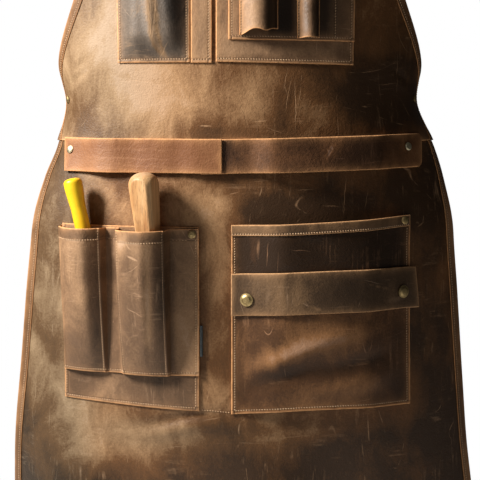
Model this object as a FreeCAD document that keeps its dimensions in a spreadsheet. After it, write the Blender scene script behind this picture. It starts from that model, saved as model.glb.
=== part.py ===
import FreeCAD, Part
import math
import os
import Sketcher

# A leather work apron hung by its neck strap from a wall hook (millimetres).
# Origin: middle of the hook plate's two screws, on the wall. +X is the viewer's right, +Y points
# into the wall, +Z is up. Heights on the apron are given above its waist seam.

V = FreeCAD.Vector
os.makedirs("parts", exist_ok=True)
doc = FreeCAD.newDocument("apron_on_hook")

# ---------------------------------------------------------------- driving dimensions
SIZES = {
    "waist_drop": 675,        # waist seam below the hook's screws
    "bib_top": 345,           # heights above the waist seam
    "bib_foot": 8,
    "skirt_head": 20,
    "skirt_foot": -530,
    "leather": 2.0,           # main hide
    "patch_leather": 1.7,     # pockets
    "strap_leather": 2.4,
    "layer_gap": 0.4,
    "binding_wide": 12,
    "binding_thick": 1.0,
    "plate_wide": 24,
    "plate_high": 70,
    "plate_thick": 4,
    "screw_pitch": 50,
    "screw_hole_r": 2.5,
    "arm_r": 5,
    "rod_drop": 8,            # the arm's axis below the screws
    "rod_reach": 86,          # wall to the middle of the neck strap
    "tip_ball_r": 8,
    "ring_r": 17,             # D-ring bow, to the middle of its wire
    "ring_wire_r": 2,
    "ring_apart": 200,
    "ring_height": 353,
    "neck_wide": 25,
    "belt_wide": 36,
    "belt_height": 55,
    "belt_back": 12,          # the belt's middle in front of the wall
    "buckle_wire_r": 1.75,
    "buckle_reach": 28,
    "rivet_r": 4.5,
    "rivet_dome": 1.8,
    "rivet_shank_r": 1.5,
    "snap_r": 7.2,
    "marker_r": 9.5,
    "chisel_flats": 31,
    "tab_wide": 24,
}
sheet = doc.addObject("Spreadsheet::Sheet", "Sizes")
for row, (word, number) in enumerate(SIZES.items(), start=1):
    sheet.set(f"A{row}", word)
    sheet.set(f"B{row}", str(number))
    sheet.setAlias(f"B{row}", word)
doc.recompute()
S = {word: float(sheet.get(word)) for word in SIZES}

WAIST = -S["waist_drop"]
T, GAP = S["leather"], S["layer_gap"]
SKIRT_FACE = T                                # distances out from the inside of the skirt
BIB_BACK = T + GAP
BIB_FACE = BIB_BACK + T
made = {}


# ---------------------------------------------------------------- the worn shape
# height above the waist, sideways shift, half width, depth, y of the front crest
SECTIONS = [
    (345, 0, 190, 22, -86.5), (255, 0, 193, 55, -103), (165, -1, 197.5, 80, -113),
    (99, -1, 205, 92, -116), (50, 2, 199.5, 95, -117), (0, 7, 218, 98, -117),
    (-33, 5, 232.5, 104, -119), (-99, 2, 256, 112, -121), (-275, 2.5, 276, 118, -121),
    (-363, 0, 284, 120, -120), (-530, 0, 298, 122, -118),
]
# height, how far round from the front the side edges come (degrees)
BIB_EDGE = [
    (345, 41), (300, 45), (255, 50), (210, 56.5), (165, 65.5), (99, 81), (66, 93), (50, 95),
    (33, 92), (8, 83),
]
SKIRT_EDGE = [
    (20, 72), (8, 74.5), (0, 80), (-33, 78.7), (-99, 71.5), (-165, 70), (-275, 70), (-363, 70.5), (-530, 71),
]


def smooth(rows, z, col):
    """A value from a table of heights, on a smooth curve through its rows."""
    rows = sorted(rows)
    last = len(rows) - 1
    i = max([k for k in range(last) if rows[k][0] <= z], default=0)

    def slope(k):
        low, high = rows[max(k - 1, 0)], rows[min(k + 1, last)]
        return (high[col] - low[col]) / (high[0] - low[0])

    span = rows[i + 1][0] - rows[i][0]
    u = min(max((z - rows[i][0]) / span, 0), 1)
    return ((2 * u**3 - 3 * u * u + 1) * rows[i][col] + (u**3 - 2 * u * u + u) * span * slope(i)
            + (3 * u * u - 2 * u**3) * rows[i + 1][col] + (u**3 - u * u) * span * slope(i + 1))


def section(z):
    return [smooth(SECTIONS, z, k) for k in (1, 2, 3, 4)]


def around(phi, z, out):
    """The point at angle phi from the front, height z, and out from the hide's inside."""
    shift, wide, deep, crest = section(z)
    nx, ny = deep * math.sin(phi), -wide * math.cos(phi)
    n = math.hypot(nx, ny)
    return V(shift + wide * math.sin(phi) + out * nx / n,
             crest + deep * (1 - math.cos(phi)) + out * ny / n, z + WAIST)


def angle_at(x, z):
    shift, wide = section(z)[:2]
    return math.asin(max(-1.0, min(1.0, (x - shift) / wide)))


def at(x, z, out=0.0):
    return around(angle_at(x, z), z, out)


def directions(x, z, surface=at):
    """The sideways and outward directions of a surface of (x, z) at a place."""
    side = surface(x + 0.5, z) - surface(x - 0.5, z)
    side.normalize()
    out = side.cross(surface(x, z + 0.5) - surface(x, z - 0.5))
    out.normalize()
    return side, out


# ---------------------------------------------------------------- building blocks
def keep(name, shape, body=None):
    """One node: an object of the document and its STEP file's name."""
    if body is None:
        body = doc.addObject("Part::Feature", name)
        body.Shape = shape
    made[name] = body
    return body


def cut_wire(front, back):
    """A closed wire round a strip of hide: smooth front and back, straight ends."""
    a, b = Part.BSplineCurve(), Part.BSplineCurve()
    a.interpolate(front)
    b.interpolate(back)
    return Part.Wire([a.toShape(), Part.makeLine(front[-1], back[-1]), b.toShape(),
                      Part.makeLine(back[0], front[0])])


def hide(rows, place, back, front, across=15):
    """A sheet of hide lofted through level or tilted rows.

    rows: (height at x 0, tilt, low edge, high edge); place(u, z, out) gives a point, and back and
    front give how far out its two faces lie, as numbers or as functions of u and z."""
    wires = []
    for z0, tilt, low, high in rows:
        faces = ([], [])
        for i in range(across):
            u = low + (high - low) * i / (across - 1)
            for k, out in enumerate((front, back)):
                x = u
                for _ in range(3 if tilt else 1):       # settle the point onto the tilted plane
                    z = z0 + tilt * x
                    p = place(u, z, out(u, z) if callable(out) else out)
                    x = p.x
                p.z = z0 + tilt * x + WAIST
                faces[k].append(p)
        wires.append(cut_wire(*faces))
    return Part.makeLoft(wires, True, False)


def level_rows(edge, waist_end, far_end, steps):
    """Rows of a panel whose edge angles come from a table, closer together near the waist."""
    rows = []
    for i in range(steps + 1):
        z = waist_end + (far_end - waist_end) * (i / steps) ** 1.5
        phi = math.radians(smooth(edge, z, 1))
        rows.append((z, 0, -phi, phi))
    return rows


def patch_rows(top, foot, steps, tilt_top=0.0, tilt_foot=0.0, ends=None):
    """Rows of a patch between two edges: each edge is a height at x 0."""
    rows = []
    for i in range(steps + 1):
        f = i / steps
        low, high = ends
        rows.append((top + (foot - top) * f, tilt_top + (tilt_foot - tilt_top) * f, low, high))
    return rows


def binding(edge, side, waist_end, far_end, steps, out):
    """A strip folded round one side edge of a panel whose back lies at out."""
    wide, thick = S["binding_wide"], S["binding_thick"]
    wires = []
    for z, _, _, phi in level_rows(edge, waist_end, far_end, steps):
        here, there = around(side * phi, z, out), around(side * (phi - 0.05), z, out)
        per_mm = 0.05 / (here - there).Length
        face, rear = out + T + 0.6, out - 0.6
        loop = [(-wide, face + thick), (-wide / 2, face + thick), (1.6, face + thick),
                (1.6, rear - thick), (-wide / 2, rear - thick), (-wide, rear - thick),
                (-wide, rear), (-wide / 2, rear), (0.6, rear), (0.6, face),
                (-wide / 2, face), (-wide, face)]
        points = [around(side * (phi + d * per_mm), z, o) for d, o in loop]
        wires.append(Part.makePolygon(points + points[:1]))
    return Part.makeLoft(wires, True, False)


def drill(name, start, way, radius):
    """Cut a round hole through a node that is already made."""
    hole = Part.makeCylinder(radius, 30, start - way * 15, way)
    made[name].Shape = made[name].Shape.cut(hole)


def sketch(body, label, points, circles=(), plane=1):
    """A closed sketch; each coordinate is a number or (factor, word, plus) from the sheet."""
    sk = body.newObject("Sketcher::SketchObject", label)
    sk.AttachmentSupport = (body.Origin.OriginFeatures[3 + plane], [""])
    sk.MapMode = "FlatFace"

    def value(c):
        return c if isinstance(c, (int, float)) else c[0] * S[c[1]] + c[2]

    def bind(kind, first, spot, c):
        n = sk.addConstraint(Sketcher.Constraint(kind, -1, 1, first, spot, value(c)))
        if not isinstance(c, (int, float)):
            sk.setExpression(f"Constraints[{n}]", f"{c[0]} * Sizes.{c[1]} + {c[2]}")

    flat = [V(value(a), value(b), 0) for a, b in points]
    for i, p in enumerate(flat):
        sk.addGeometry(Part.LineSegment(p, flat[(i + 1) % len(flat)]), False)
    for i in range(len(flat)):
        sk.addConstraint(Sketcher.Constraint("Coincident", i, 2, (i + 1) % len(flat), 1))
        bind("DistanceX", i, 1, points[i][0])
        bind("DistanceY", i, 1, points[i][1])
    for a, b, r in circles:
        g = sk.addGeometry(Part.Circle(V(value(a), value(b), 0), V(0, 0, 1), value(r)), False)
        bind("DistanceX", g, 3, a)
        bind("DistanceY", g, 3, b)
        n = sk.addConstraint(Sketcher.Constraint("Radius", g, value(r)))
        if not isinstance(r, (int, float)):
            sk.setExpression(f"Constraints[{n}]", f"{r[0]} * Sizes.{r[1]} + {r[2]}")
    return sk


def lathe(name, profile, centre, way):
    """A turned piece: profile of (radius, height) about an axis that points along way."""
    body = doc.addObject("PartDesign::Body", name)
    sk = sketch(body, name + "_profile", profile)
    turn = body.newObject("PartDesign::Revolution", name + "_turn")
    turn.Profile = sk
    turn.ReferenceAxis = (sk, ["V_Axis"])
    turn.Angle = 360
    sk.Visibility = False
    body.Placement = FreeCAD.Placement(centre, FreeCAD.Rotation(V(0, 0, 1), way))
    return keep(name, None, body)


def rivet_at(name, foot, way, grip, through):
    """A domed rivet: its shank up from foot through the named nodes, a flat washer behind them."""
    grip += 0.2
    r, shank, washer = (1, "rivet_r", 0), (1, "rivet_shank_r", 0), (0.8, "rivet_r", 0)
    lathe(name, [(0, -1.1), (washer, -1.1), (washer, -0.1), (shank, -0.1), (shank, grip), (r, grip),
                 (r, grip + 0.5), ((0.7, "rivet_r", 0), grip + 1.3), (0, (1, "rivet_dome", grip))],
          foot, way)
    for node in through:
        drill(node, foot, way, S["rivet_shank_r"] + 0.1)


def rivet(name, x, z, foot, face, through):
    rivet_at(name, at(x, z, foot), directions(x, z)[1], face - foot, through)


def bump(u, low, high, soft):
    """0 outside low..high, 1 on the flat between, with soft shoulders."""
    rise = min(max((u - low) / soft, 0), 1) * min(max((high - u) / soft, 0), 1)
    return rise * rise * (3 - 2 * rise)


def ribbon(points, thick, z):
    """A face at height z: a strip of given thickness along a smooth flat path."""
    path = Part.BSplineCurve()
    path.interpolate([V(x, y, z) for x, y in points])
    count = 6 * (len(points) - 1)
    sides = ([], [])
    for i in range(count + 1):
        w = path.FirstParameter + (path.LastParameter - path.FirstParameter) * i / count
        p, d = path.value(w), path.tangent(w)[0]
        n = V(-d.y, d.x, 0) if abs(d.y) > 0.03 else V(0, math.copysign(1, d.x), 0)
        sides[0].append(p + n * thick / 2)
        sides[1].append(p - n * thick / 2)
    return Part.Face(cut_wire(*sides))


def strap_piece(points, thick, wide, outline=None):
    """A strap along a path of (along, out), wide across, cut to an outline of (along, across)."""
    piece = ribbon(points, thick, -wide / 2).extrude(V(0, 0, wide))
    if outline:
        blade = Part.Face(Part.makePolygon([V(a, -40, b) for a, b in outline + outline[:1]]))
        piece = piece.common(blade.extrude(V(0, 80, 0)))
    return piece


# ---------------------------------------------------------------- the hook
def make_hook():
    plate = doc.addObject("PartDesign::Body", "hook_plate")
    half_w, half_h = (0.5, "plate_wide", 0), (0.5, "plate_high", 0)
    left, low = (-0.5, "plate_wide", 0), (-0.5, "plate_high", 0)
    pitch = [(0, (f * 0.5, "screw_pitch", 0), (1, "screw_hole_r", 0)) for f in (-1, 1)]
    sk = sketch(plate, "plate_outline", [(left, low), (half_w, low), (half_w, half_h), (left, half_h)],
                pitch + [(0, -S["rod_drop"], 0.7 * S["arm_r"])], plane=1)
    pad = plate.newObject("PartDesign::Pad", "plate_pad")
    pad.Profile = sk
    pad.setExpression("Length", "Sizes.plate_thick")
    doc.recompute()
    corners = [f"Edge{i + 1}" for i, e in enumerate(pad.Shape.Edges)
               if len(e.Vertexes) == 2 and abs(e.tangentAt(e.FirstParameter).y) > 0.99]
    fillet = plate.newObject("PartDesign::Fillet", "plate_corners")
    fillet.Base = (pad, corners)
    fillet.Radius = 5
    keep("hook_plate", None, plate)

    r, z, reach = S["arm_r"], -S["rod_drop"], S["rod_reach"]
    path = Part.BSplineCurve()
    path.interpolate([V(0, -reach - 14, z), V(0, -reach - 22, z + 4.5), V(0, -reach - 25, z + 14)])
    foot = Part.makeCylinder(0.7 * r, S["plate_thick"], V(0, 0, z), V(0, -1, 0))
    collar = Part.makeCone(2 * r, r, 8, V(0, -S["plate_thick"], z), V(0, -1, 0))
    rod = Part.makeCylinder(r, reach + 14 - S["plate_thick"], V(0, -S["plate_thick"], z), V(0, -1, 0))
    start = Part.Wire(Part.makeCircle(r, V(0, -reach - 14, z), path.tangent(path.FirstParameter)[0]))
    tip = Part.Wire(path.toShape()).makePipeShell([start], True, False)
    joint = Part.makeSphere(r, V(0, -reach - 14, z))
    ball = Part.makeSphere(S["tip_ball_r"], V(0, -reach - 26, z + 20))
    keep("hook_arm", foot.fuse([collar, rod, joint, tip, ball]).removeSplitter())


# ---------------------------------------------------------------- panels, edges and hems
def make_panels():
    bib = level_rows(BIB_EDGE, S["bib_foot"], S["bib_top"], 22)
    skirt = level_rows(SKIRT_EDGE, S["skirt_head"], S["skirt_foot"], 20)
    keep("bib_panel", hide(bib, around, BIB_BACK, BIB_FACE))
    keep("skirt_panel", hide(skirt, around, 0.0, SKIRT_FACE))
    for word, side in (("left", -1), ("right", 1)):
        keep("bib_binding_" + word,
             binding(BIB_EDGE, side, S["bib_foot"], S["bib_top"], 22, BIB_BACK))
        keep("skirt_binding_" + word,
             binding(SKIRT_EDGE, side, S["bib_foot"] - 2, S["skirt_foot"], 20, 0.0))
    top = S["bib_top"]
    keep("bib_top_band", hide(patch_rows(top, top - 26, 2, ends=(-112, 112)), at,
                              BIB_FACE + GAP, BIB_FACE + GAP + 1.4))
    foot = S["skirt_foot"]
    hem = [(foot + h, 0, -math.radians(65), math.radians(65)) for h in (25, 12, 0)]
    keep("skirt_hem", hide(hem, around, -GAP - 1.6, -GAP))


# ---------------------------------------------------------------- chest pockets
CHEST_TOP = 205
CHEST = BIB_FACE + GAP


def pen_bulge(x, z):
    """How far the pen panel's two sewn channels stand out."""
    rise = min(max((z - 112) / 20, 0.55), 1)
    return rise * (10 * bump(x, -1, 44, 12) + 9.5 * bump(x, 60, 86, 9))


def make_chest():
    p = S["patch_leather"]

    def pocket(x, z):
        return CHEST + 11 * bump(x, -132, -53, 26) * bump(z, 94, 300, 30)

    keep("chest_pocket_left", hide(patch_rows(CHEST_TOP, 94, 6, ends=(-131.5, -53)), at, pocket,
                                   lambda x, z: pocket(x, z) + p, 21))
    keep("chest_strip", hide(patch_rows(CHEST_TOP, 93.5, 5, ends=(-52, -29.7)), at, CHEST, CHEST + p, 5))
    keep("chest_base", hide(patch_rows(CHEST_TOP, 94, 6, 0, -0.02, (-25.5, 122.4)), at, CHEST,
                            CHEST + p))

    def pen(x, z):
        return CHEST + p + GAP + pen_bulge(x, z)

    keep("pen_panel", hide(patch_rows(CHEST_TOP, 118, 6, ends=(-12.2, 122.2)), at, pen,
                           lambda x, z: pen(x, z) + p, 33))


# ---------------------------------------------------------------- waist strap
def make_waist_strap():
    t, lift = S["strap_leather"], BIB_FACE + GAP

    def loop(x, low, high):
        return 8 * bump(x, low, high, 30)

    def right(x, z):
        return lift + loop(x, 8, 172)

    def left(x, z):
        return lift + loop(x, -176, -112) + (t + GAP) * bump(x, -70, 200, 25)

    for word, low, high, shape in (("left", -195, -19, left), ("right", -42, 202, right)):
        tilt = 0.0 if word == "left" else 0.024
        rows = [(12 - 37.5 * k / 6, tilt, low, high) for k in range(7)]
        keep("waist_strap_" + word, hide(rows, at, shape, lambda x, z, s=shape: s(x, z) + t, 27))
        x, z = (-187.5, -3) if word == "left" else (184.5, 1)
        rivet("waist_rivet_" + word, x, z, -0.2, lift + t + 0.3, ["waist_strap_" + word, "skirt_panel"])


# ---------------------------------------------------------------- tool pocket, lower left
SLOT_TOP, SLOT_FOOT = -86, -250
SLOT_BACK = SKIRT_FACE + GAP + S["patch_leather"] + GAP


def slot_bulge(x, z):
    """The two tool slots stand out most at their mouths and flatten to the foot."""
    down = min(max((SLOT_TOP - z) / (SLOT_TOP - SLOT_FOOT), 0), 1)
    fade = 1 - 0.75 * down**2
    return fade * (23 * bump(x, -200, -140, 9) + 31 * bump(x, -132, -69, 9))


def make_tool_pocket():
    p = S["patch_leather"]
    base = SKIRT_FACE + GAP
    keep("tool_pocket_base", hide(patch_rows(-84, -293, 5, 0.0, -0.047, (-201, -45)), at, base,
                                  base + p))
    keep("slot_panel", hide(patch_rows(SLOT_TOP, SLOT_FOOT, 7, ends=(-200.5, -44.5)), at,
                            lambda x, z: SLOT_BACK + slot_bulge(x, z),
                            lambda x, z: SLOT_BACK + slot_bulge(x, z) + p, 53))
    rivet("pocket_rivet", -52, -92, 0.0, SLOT_BACK + p,
          ["skirt_panel", "tool_pocket_base", "slot_panel"])
    keep("label_tab", hide(patch_rows(-193.5, -228.4, 2, ends=(-44, -40.8)), at, base + 0.2,
                           base + 3.2, 3))


# ---------------------------------------------------------------- cargo pocket, lower right
CARGO_BACK = SKIRT_FACE + GAP


def cargo_bulge(x, z):
    return 15 * bump(x, -9, 190, 60) * (0.45 + 0.55 * bump(z, -292, 40, 90))


def cargo_face(x, z):
    return CARGO_BACK + cargo_bulge(x, z) + S["patch_leather"]


STRAP_SPLIT = 22
SNAP_LEFT, SNAP_RIGHT = (8, -163), (179.2, -159.3)


def make_cargo_pocket():
    p, t = S["patch_leather"], S["strap_leather"]
    keep("cargo_pocket", hide(patch_rows(-81.5, -293.9, 8, 0.039, 0.0177, (-9.5, 190)), at,
                              lambda x, z: CARGO_BACK + cargo_bulge(x, z), cargo_face, 25))
    keep("cargo_hem", hide([(-81.5 - h, 0.038, -9.5, 189) for h in (0, 6, 12)], at,
                           lambda x, z: cargo_face(x, z) + GAP,
                           lambda x, z: cargo_face(x, z) + GAP + 1.2, 25))
    rivet("cargo_rivet", 181.5, -80, -0.1, cargo_face(181.5, -80) + GAP + 1.9,
          ["skirt_panel", "cargo_pocket", "cargo_hem"])

    def strap(x, z):
        return cargo_face(min(x, 186), -157) + 1.2

    def pocket_surface(x, z):
        return at(x, z, cargo_face(x, z))

    for name, low, high in (("tool_strap_fixed", -9.7, STRAP_SPLIT - 0.3),
                            ("tool_strap_free", STRAP_SPLIT + 0.3, 199)):
        rows = [(-135.2 - 47 * f, 0.015, low, high) for f in (0, 0.5, 1)]
        keep(name, hide(rows, at, strap, lambda x, z: strap(x, z) + t, 7 if low < 0 else 21))

    for word, (x, z) in (("left", SNAP_LEFT), ("right", SNAP_RIGHT)):
        node = "tool_strap_fixed" if word == "left" else "tool_strap_free"
        foot, way = at(x, z, strap(x, z)), directions(x, z, pocket_surface)[1]
        r, bore = (1, "snap_r", 0), 2.3 if word == "right" else 1.0
        low = 0.0 if word == "right" else -0.5
        profile = [(bore, low), (3.8, low), (3.8, t + 0.5), (r, t + 0.5), (r, t + 1.5),
                   ((1, "snap_r", -1.6), t + 1.9), ((0.5, "snap_r", 0), t + 3.2), (0, t + 3.5),
                   (0, t - 0.2), (bore, t - 0.2)]
        lathe("snap_cap_" + word, profile, foot, way)
        drill(node, foot, way, 3.9)
    x, z = SNAP_RIGHT
    face, way = pocket_surface(x, z), directions(x, z, pocket_surface)[1]
    lathe("snap_stud", [(0, -p - 0.8), (4.4, -p - 0.8), (4.4, -p - 0.2), (1.9, -p - 0.2), (1.9, 0.1),
                        (4.4, 0.1), (4.4, 0.8), (1.9, 0.8), (1.9, 2.9), (0, 2.9)], face, way)
    drill("cargo_pocket", face, way, 2.0)


# ---------------------------------------------------------------- the two tools
def stand(name, shape, spot, turn):
    shape.Placement = FreeCAD.Placement(spot, turn)
    keep(name, shape)


def tool_place(x, z, out, lean, tip_out):
    """Where a tool crosses its slot's mouth, and its axis, leaning to -X and out of the pocket."""
    side, way = directions(x, z)
    axis = V(0, 0, 1) - side * math.tan(math.radians(lean)) + way * math.tan(math.radians(tip_out))
    axis.normalize()
    across = side - axis * side.dot(axis)
    turn = FreeCAD.Rotation(across, V(0, 0, 0), axis, "ZXY")
    return at(x, z, out), turn, axis


MARKER = (-168, -86, 16.8, 12, 2)
CHISEL = (-96, -86, 21.5, 4, 3)


def make_tools():
    spot, turn, axis = tool_place(*MARKER)
    r = S["marker_r"]
    body = doc.addObject("PartDesign::Body", "marker_barrel")
    rr = (1, "marker_r", 0)
    sk = sketch(body, "marker_profile", [(0, -18), ((1, "marker_r", -1.6), -18), ((1, "marker_r", -1), 8),
                                         ((1, "marker_r", -0.6), 30), (rr, 44),
                                         ((0.8, "marker_r", 0), 51), ((0.45, "marker_r", 0), 54.5),
                                         (0, 55.5)])
    turned = body.newObject("PartDesign::Revolution", "marker_turn")
    turned.Profile = sk
    turned.ReferenceAxis = (sk, ["V_Axis"])
    body.Placement = FreeCAD.Placement(spot, FreeCAD.Rotation(V(0, 0, 1), axis))
    keep("marker_barrel", None, body)
    cap = Part.makeCylinder(r - 1.2, 30, V(0, 0, -48.2)).fuse(
        Part.makeCone(r - 4, r - 1.2, 6, V(0, 0, -54.2)))
    cap.Placement = body.Placement
    keep("marker_cap", cap.removeSplitter())

    spot, turn, axis = tool_place(*CHISEL)

    def octagon(flats, z):
        c = flats / 2 / math.cos(math.pi / 8)
        ring = [V(c * math.cos(math.pi / 8 * (2 * k + 1)), c * math.sin(math.pi / 8 * (2 * k + 1)), z)
                for k in range(8)]
        return Part.makePolygon(ring + ring[:1])

    f = S["chisel_flats"]
    handle = Part.makeLoft([octagon(f * w, z) for w, z in
                            ((0.68, -62), (0.8, -40), (0.86, 0), (0.97, 44), (1, 56), (0.9, 60),
                             (0.6, 62.5))], True, True)
    stand("chisel_handle", handle, spot, turn)
    stand("chisel_ferrule", Part.makeCone(7, 9.5, 14, V(0, 0, -76.2)), spot, turn)
    stand("chisel_blade", Part.makeBox(16, 3, 66, V(-8, -1.5, -142.4)).fuse(
        Part.makeCylinder(3, 6, V(0, 0, -82.4))), spot, turn)


# ---------------------------------------------------------------- buckles and straps
def buckle(prefix, wide, place, short, long):
    """The frame, prong and keeper of a buckle, in axes with x along the strap and y out of it.

    The short strap loops round the bar at x 0; the long one comes under the far side, over the
    bar and through the keeper, with the prong through its hole. Both are cut for the prong."""
    w, reach = S["buckle_wire_r"], S["buckle_reach"]
    half = wide / 2 + 1.2 + w
    bars = [Part.makeCylinder(w, 2 * half, V(x, 0, -half)) for x in (0, reach)]
    ends = [Part.makeCylinder(w, reach, V(0, 0, s * half), V(1, 0, 0)) for s in (-1, 1)]
    knobs = [Part.makeSphere(w, V(x, 0, s * half)) for x in (0, reach) for s in (-1, 1)]
    frame = bars[0].fuse(bars[1:] + ends + knobs).removeSplitter()
    eye = Part.makeCylinder(w + 1.9, 3.4, V(0, 0, -1.7)).cut(
        Part.makeCylinder(w + 0.05, 4, V(0, 0, -2)))
    prong = eye.fuse(Part.makeCylinder(1.3, reach + 2.5, V(0.5, w + 1.38, 0), V(1, 0, 0)))
    low, high, side = -2.95, 5.7, wide / 2 + 0.6
    keeper = Part.makeBox(8, high - low + 2.4, 2 * side + 2.4, V(-34, low - 1.2, -side - 1.2)).cut(
        Part.makeBox(10, high - low, 2 * side, V(-35, low, -side)))
    for name, piece in (("buckle", frame), ("prong", prong.removeSplitter()), ("keeper", keeper)):
        piece.Placement = place
        keep(f"{prefix}_{name}", piece)
    slot = Part.makeBox(14, 16, 5, V(-6, -8, -2.5))
    hole = Part.makeBox(17.4, 16, 4.4, V(-1.4, 2.9, -2.2)).fuse(
        Part.makeBox(13.5, 16, 4.4, V(2.5, -6, -2.2)))
    return short.cut(slot), long.cut(hole)


# Middle lines of the two straps near a buckle (along, out), for hide 2.4 thick.
FOLD_ROUND_BAR = [(-38, -1.35), (-24, -1.35), (-12, -1.7), (-6, -2.7), (0, -3.25), (2.3, -2.3),
                  (3.25, 0), (2.3, 2.3), (0, 3.25), (-6, 2.7), (-12, 1.7), (-24, 1.35), (-38, 1.35)]
THREADED = [(-57, 4.1), (-45, 4.1), (-30, 4.1), (-14, 4.5), (-6, 5.6), (0, 6.0), (5, 5.2), (12, 2.0),
            (20, -1.6), (28, -3.4), (36, -3.3), (48, -2.2), (58, -0.9), (68, 0)]


def ring_fold(bow, sign):
    """A strap's loop round a D-ring's bow at distance bow, its leg towards sign."""
    return [(bow + sign * a, b) for a, b in
            [(34, -1.35), (24, -1.35), (12, -1.8), (6, -3.1), (0, -4.5), (-3.2, -3.2), (-4.5, 0),
             (-3.2, 3.2), (0, 4.5), (6, 3.1), (12, 1.8), (24, 1.35), (34, 1.35)]]


def make_neck():
    t, wide = S["strap_leather"], S["neck_wide"]
    rod = V(0, -S["rod_reach"], -S["rod_drop"])
    ring_x, ring_z = S["ring_apart"] / 2, S["ring_height"] + WAIST
    drop, arch_r = rod.z - ring_z, S["arm_r"] + 1.3 + t / 2
    reach = math.hypot(ring_x, drop)
    lean = math.atan2(ring_x, drop) - math.asin(arch_r / reach)
    leg = math.sqrt(reach**2 - arch_r**2)
    bow = S["ring_r"]
    turns = {}
    for word, sign in (("left", -1), ("right", 1)):
        along = V(-sign * math.sin(lean), 0, math.cos(lean))
        across = V(math.cos(lean), 0, sign * math.sin(lean))
        centre = V(sign * ring_x, rod.y, ring_z)
        turns[word] = (centre, along, across, FreeCAD.Rotation(along, V(0, -1, 0), across, "XYZ"))
        wire = S["ring_wire_r"]
        arc = Part.Face(Part.Wire(Part.makeCircle(wire, V(bow, 0, 0)))).revolve(
            V(0, 0, 0), V(0, 1, 0), -180)
        bar = Part.makeCylinder(wire, 2 * bow, V(-bow, 0, 0), V(1, 0, 0))
        ends = [Part.makeSphere(wire, V(x, 0, 0)) for x in (-bow, bow)]
        ring = bar.fuse([arc] + ends).removeSplitter()
        ring.translate(centre)
        keep("ring_" + word, ring)

    def twist(word, low, high, steps=8):
        centre, along, across, _ = turns[word]
        wires = []
        for i in range(steps + 1):
            f = i / steps
            a = math.pi / 2 * f * f * (3 - 2 * f)
            broad = across * math.cos(a) + V(0, 1, 0) * math.sin(a)
            thin = broad.cross(along)
            p = centre + along * (low + (high - low) * f)
            ring = [p + broad * (x * wide / 2) + thin * (y * t / 2)
                    for x, y in ((-1, -1), (1, -1), (1, 1), (-1, 1))]
            wires.append(Part.makePolygon(ring + ring[:1]))
        return Part.makeLoft(wires, True, True)

    def arc_edge(r):
        points = [V(r * math.cos(a), -wide / 2, r * math.sin(a))
                  for a in (lean, math.pi / 2, math.pi - lean)]
        return Part.Arc(*points).toShape(), points[0], points[-1]

    (outer, o1, o2), (inner, i1, i2) = arc_edge(arch_r + t / 2), arc_edge(arch_r - t / 2)
    arch = Part.Face(Part.Wire([outer, Part.makeLine(o2, i2), inner, Part.makeLine(i1, o1)]))
    arch = arch.extrude(V(0, wide, 0))
    arch.translate(rod)

    narrow = [(-16, 6), (9, 6), (25, wide / 2), (140, wide / 2)]
    narrow = narrow + [(a, -b) for a, b in reversed(narrow)]
    left = strap_piece(ring_fold(bow, 1) + [(bow + 46, 0.8), (bow + 58, 0), (bow + 70, 0), (100, 0)],
                       t, wide, [(a + bow, b) for a, b in narrow])
    left.Placement = FreeCAD.Placement(turns["left"][0], turns["left"][3])

    gap = 85                                            # buckle bar to the ring's bow
    centre, along, _, turn = turns["right"]
    place = FreeCAD.Placement(centre + along * (bow + gap), turn)
    short = strap_piece(FOLD_ROUND_BAR + ring_fold(-gap, 1)[::-1], t, wide,
                        [(a - gap, b) for a, b in narrow])
    long = strap_piece(THREADED + [(74, 0), (80, 0)], t, wide)
    short, long = buckle("neck", wide, place, short, long)
    for x in (-50, -42):
        long = long.cut(Part.makeCylinder(1.6, 20, V(x, -8, 0), V(0, 1, 0)))
    for piece in (short, long):
        piece.Placement = place
    keep("neck_strap_short", short)
    for piece in (twist("right", bow + gap + 80, leg), arch, twist("left", 100, leg), left):
        long = long.fuse(piece)
    keep("neck_strap_long", long)
    for word, spot, node in (("left", bow + 21, "neck_strap_long"), ("right", bow + 21, "neck_strap_short")):
        centre, along, _, _ = turns[word]
        rivet_at("neck_rivet_" + word, centre + along * spot + V(0, 2.9, 0), V(0, -1, 0), 5.8, [node])


def make_belt():
    t, wide, z = S["strap_leather"], S["belt_wide"], S["belt_height"]
    back, bar_x = -S["belt_back"], -12
    place = FreeCAD.Placement(V(bar_x, back, z + WAIST), FreeCAD.Rotation())

    def side(sign):
        """From the straight of the back round the corner and along the bib's inside."""
        edge = around(sign * math.radians(90), z, -1.0).x
        points = [(sign * 150, back), (sign * 172, back), (edge - sign * 17, back - 0.3),
                  (edge - sign * 7.5, back - 2.2), (edge - sign * 1.6, back - 8)]
        for degrees in (86, 80, 74):
            p = around(sign * math.radians(degrees), z, -1.6)
            points.append((p.x, p.y))
        return [(x - bar_x, y - back) for x, y in points]

    short = strap_piece(FOLD_ROUND_BAR + [(-60, 0.9), (-85, 0.2), (-110, 0)] + side(-1), t, wide)
    long = strap_piece(THREADED + [(80, 0), (110, 0)] + side(1), t, wide)
    short, long = buckle("belt", wide, place, short, long)
    for x in (-50, -42):
        long = long.cut(Part.makeCylinder(1.8, 20, V(x, -8, 0), V(0, 1, 0)))
    for name, piece in (("belt_left", short), ("belt_right", long)):
        piece.Placement = place
        keep(name, piece)
    for word, sign in (("left", -1), ("right", 1)):
        x = around(sign * math.radians(78), z, 0).x
        rivet("belt_rivet_" + word, x, z, -3.1, BIB_FACE + 0.4, ["bib_panel", "belt_" + word])


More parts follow.
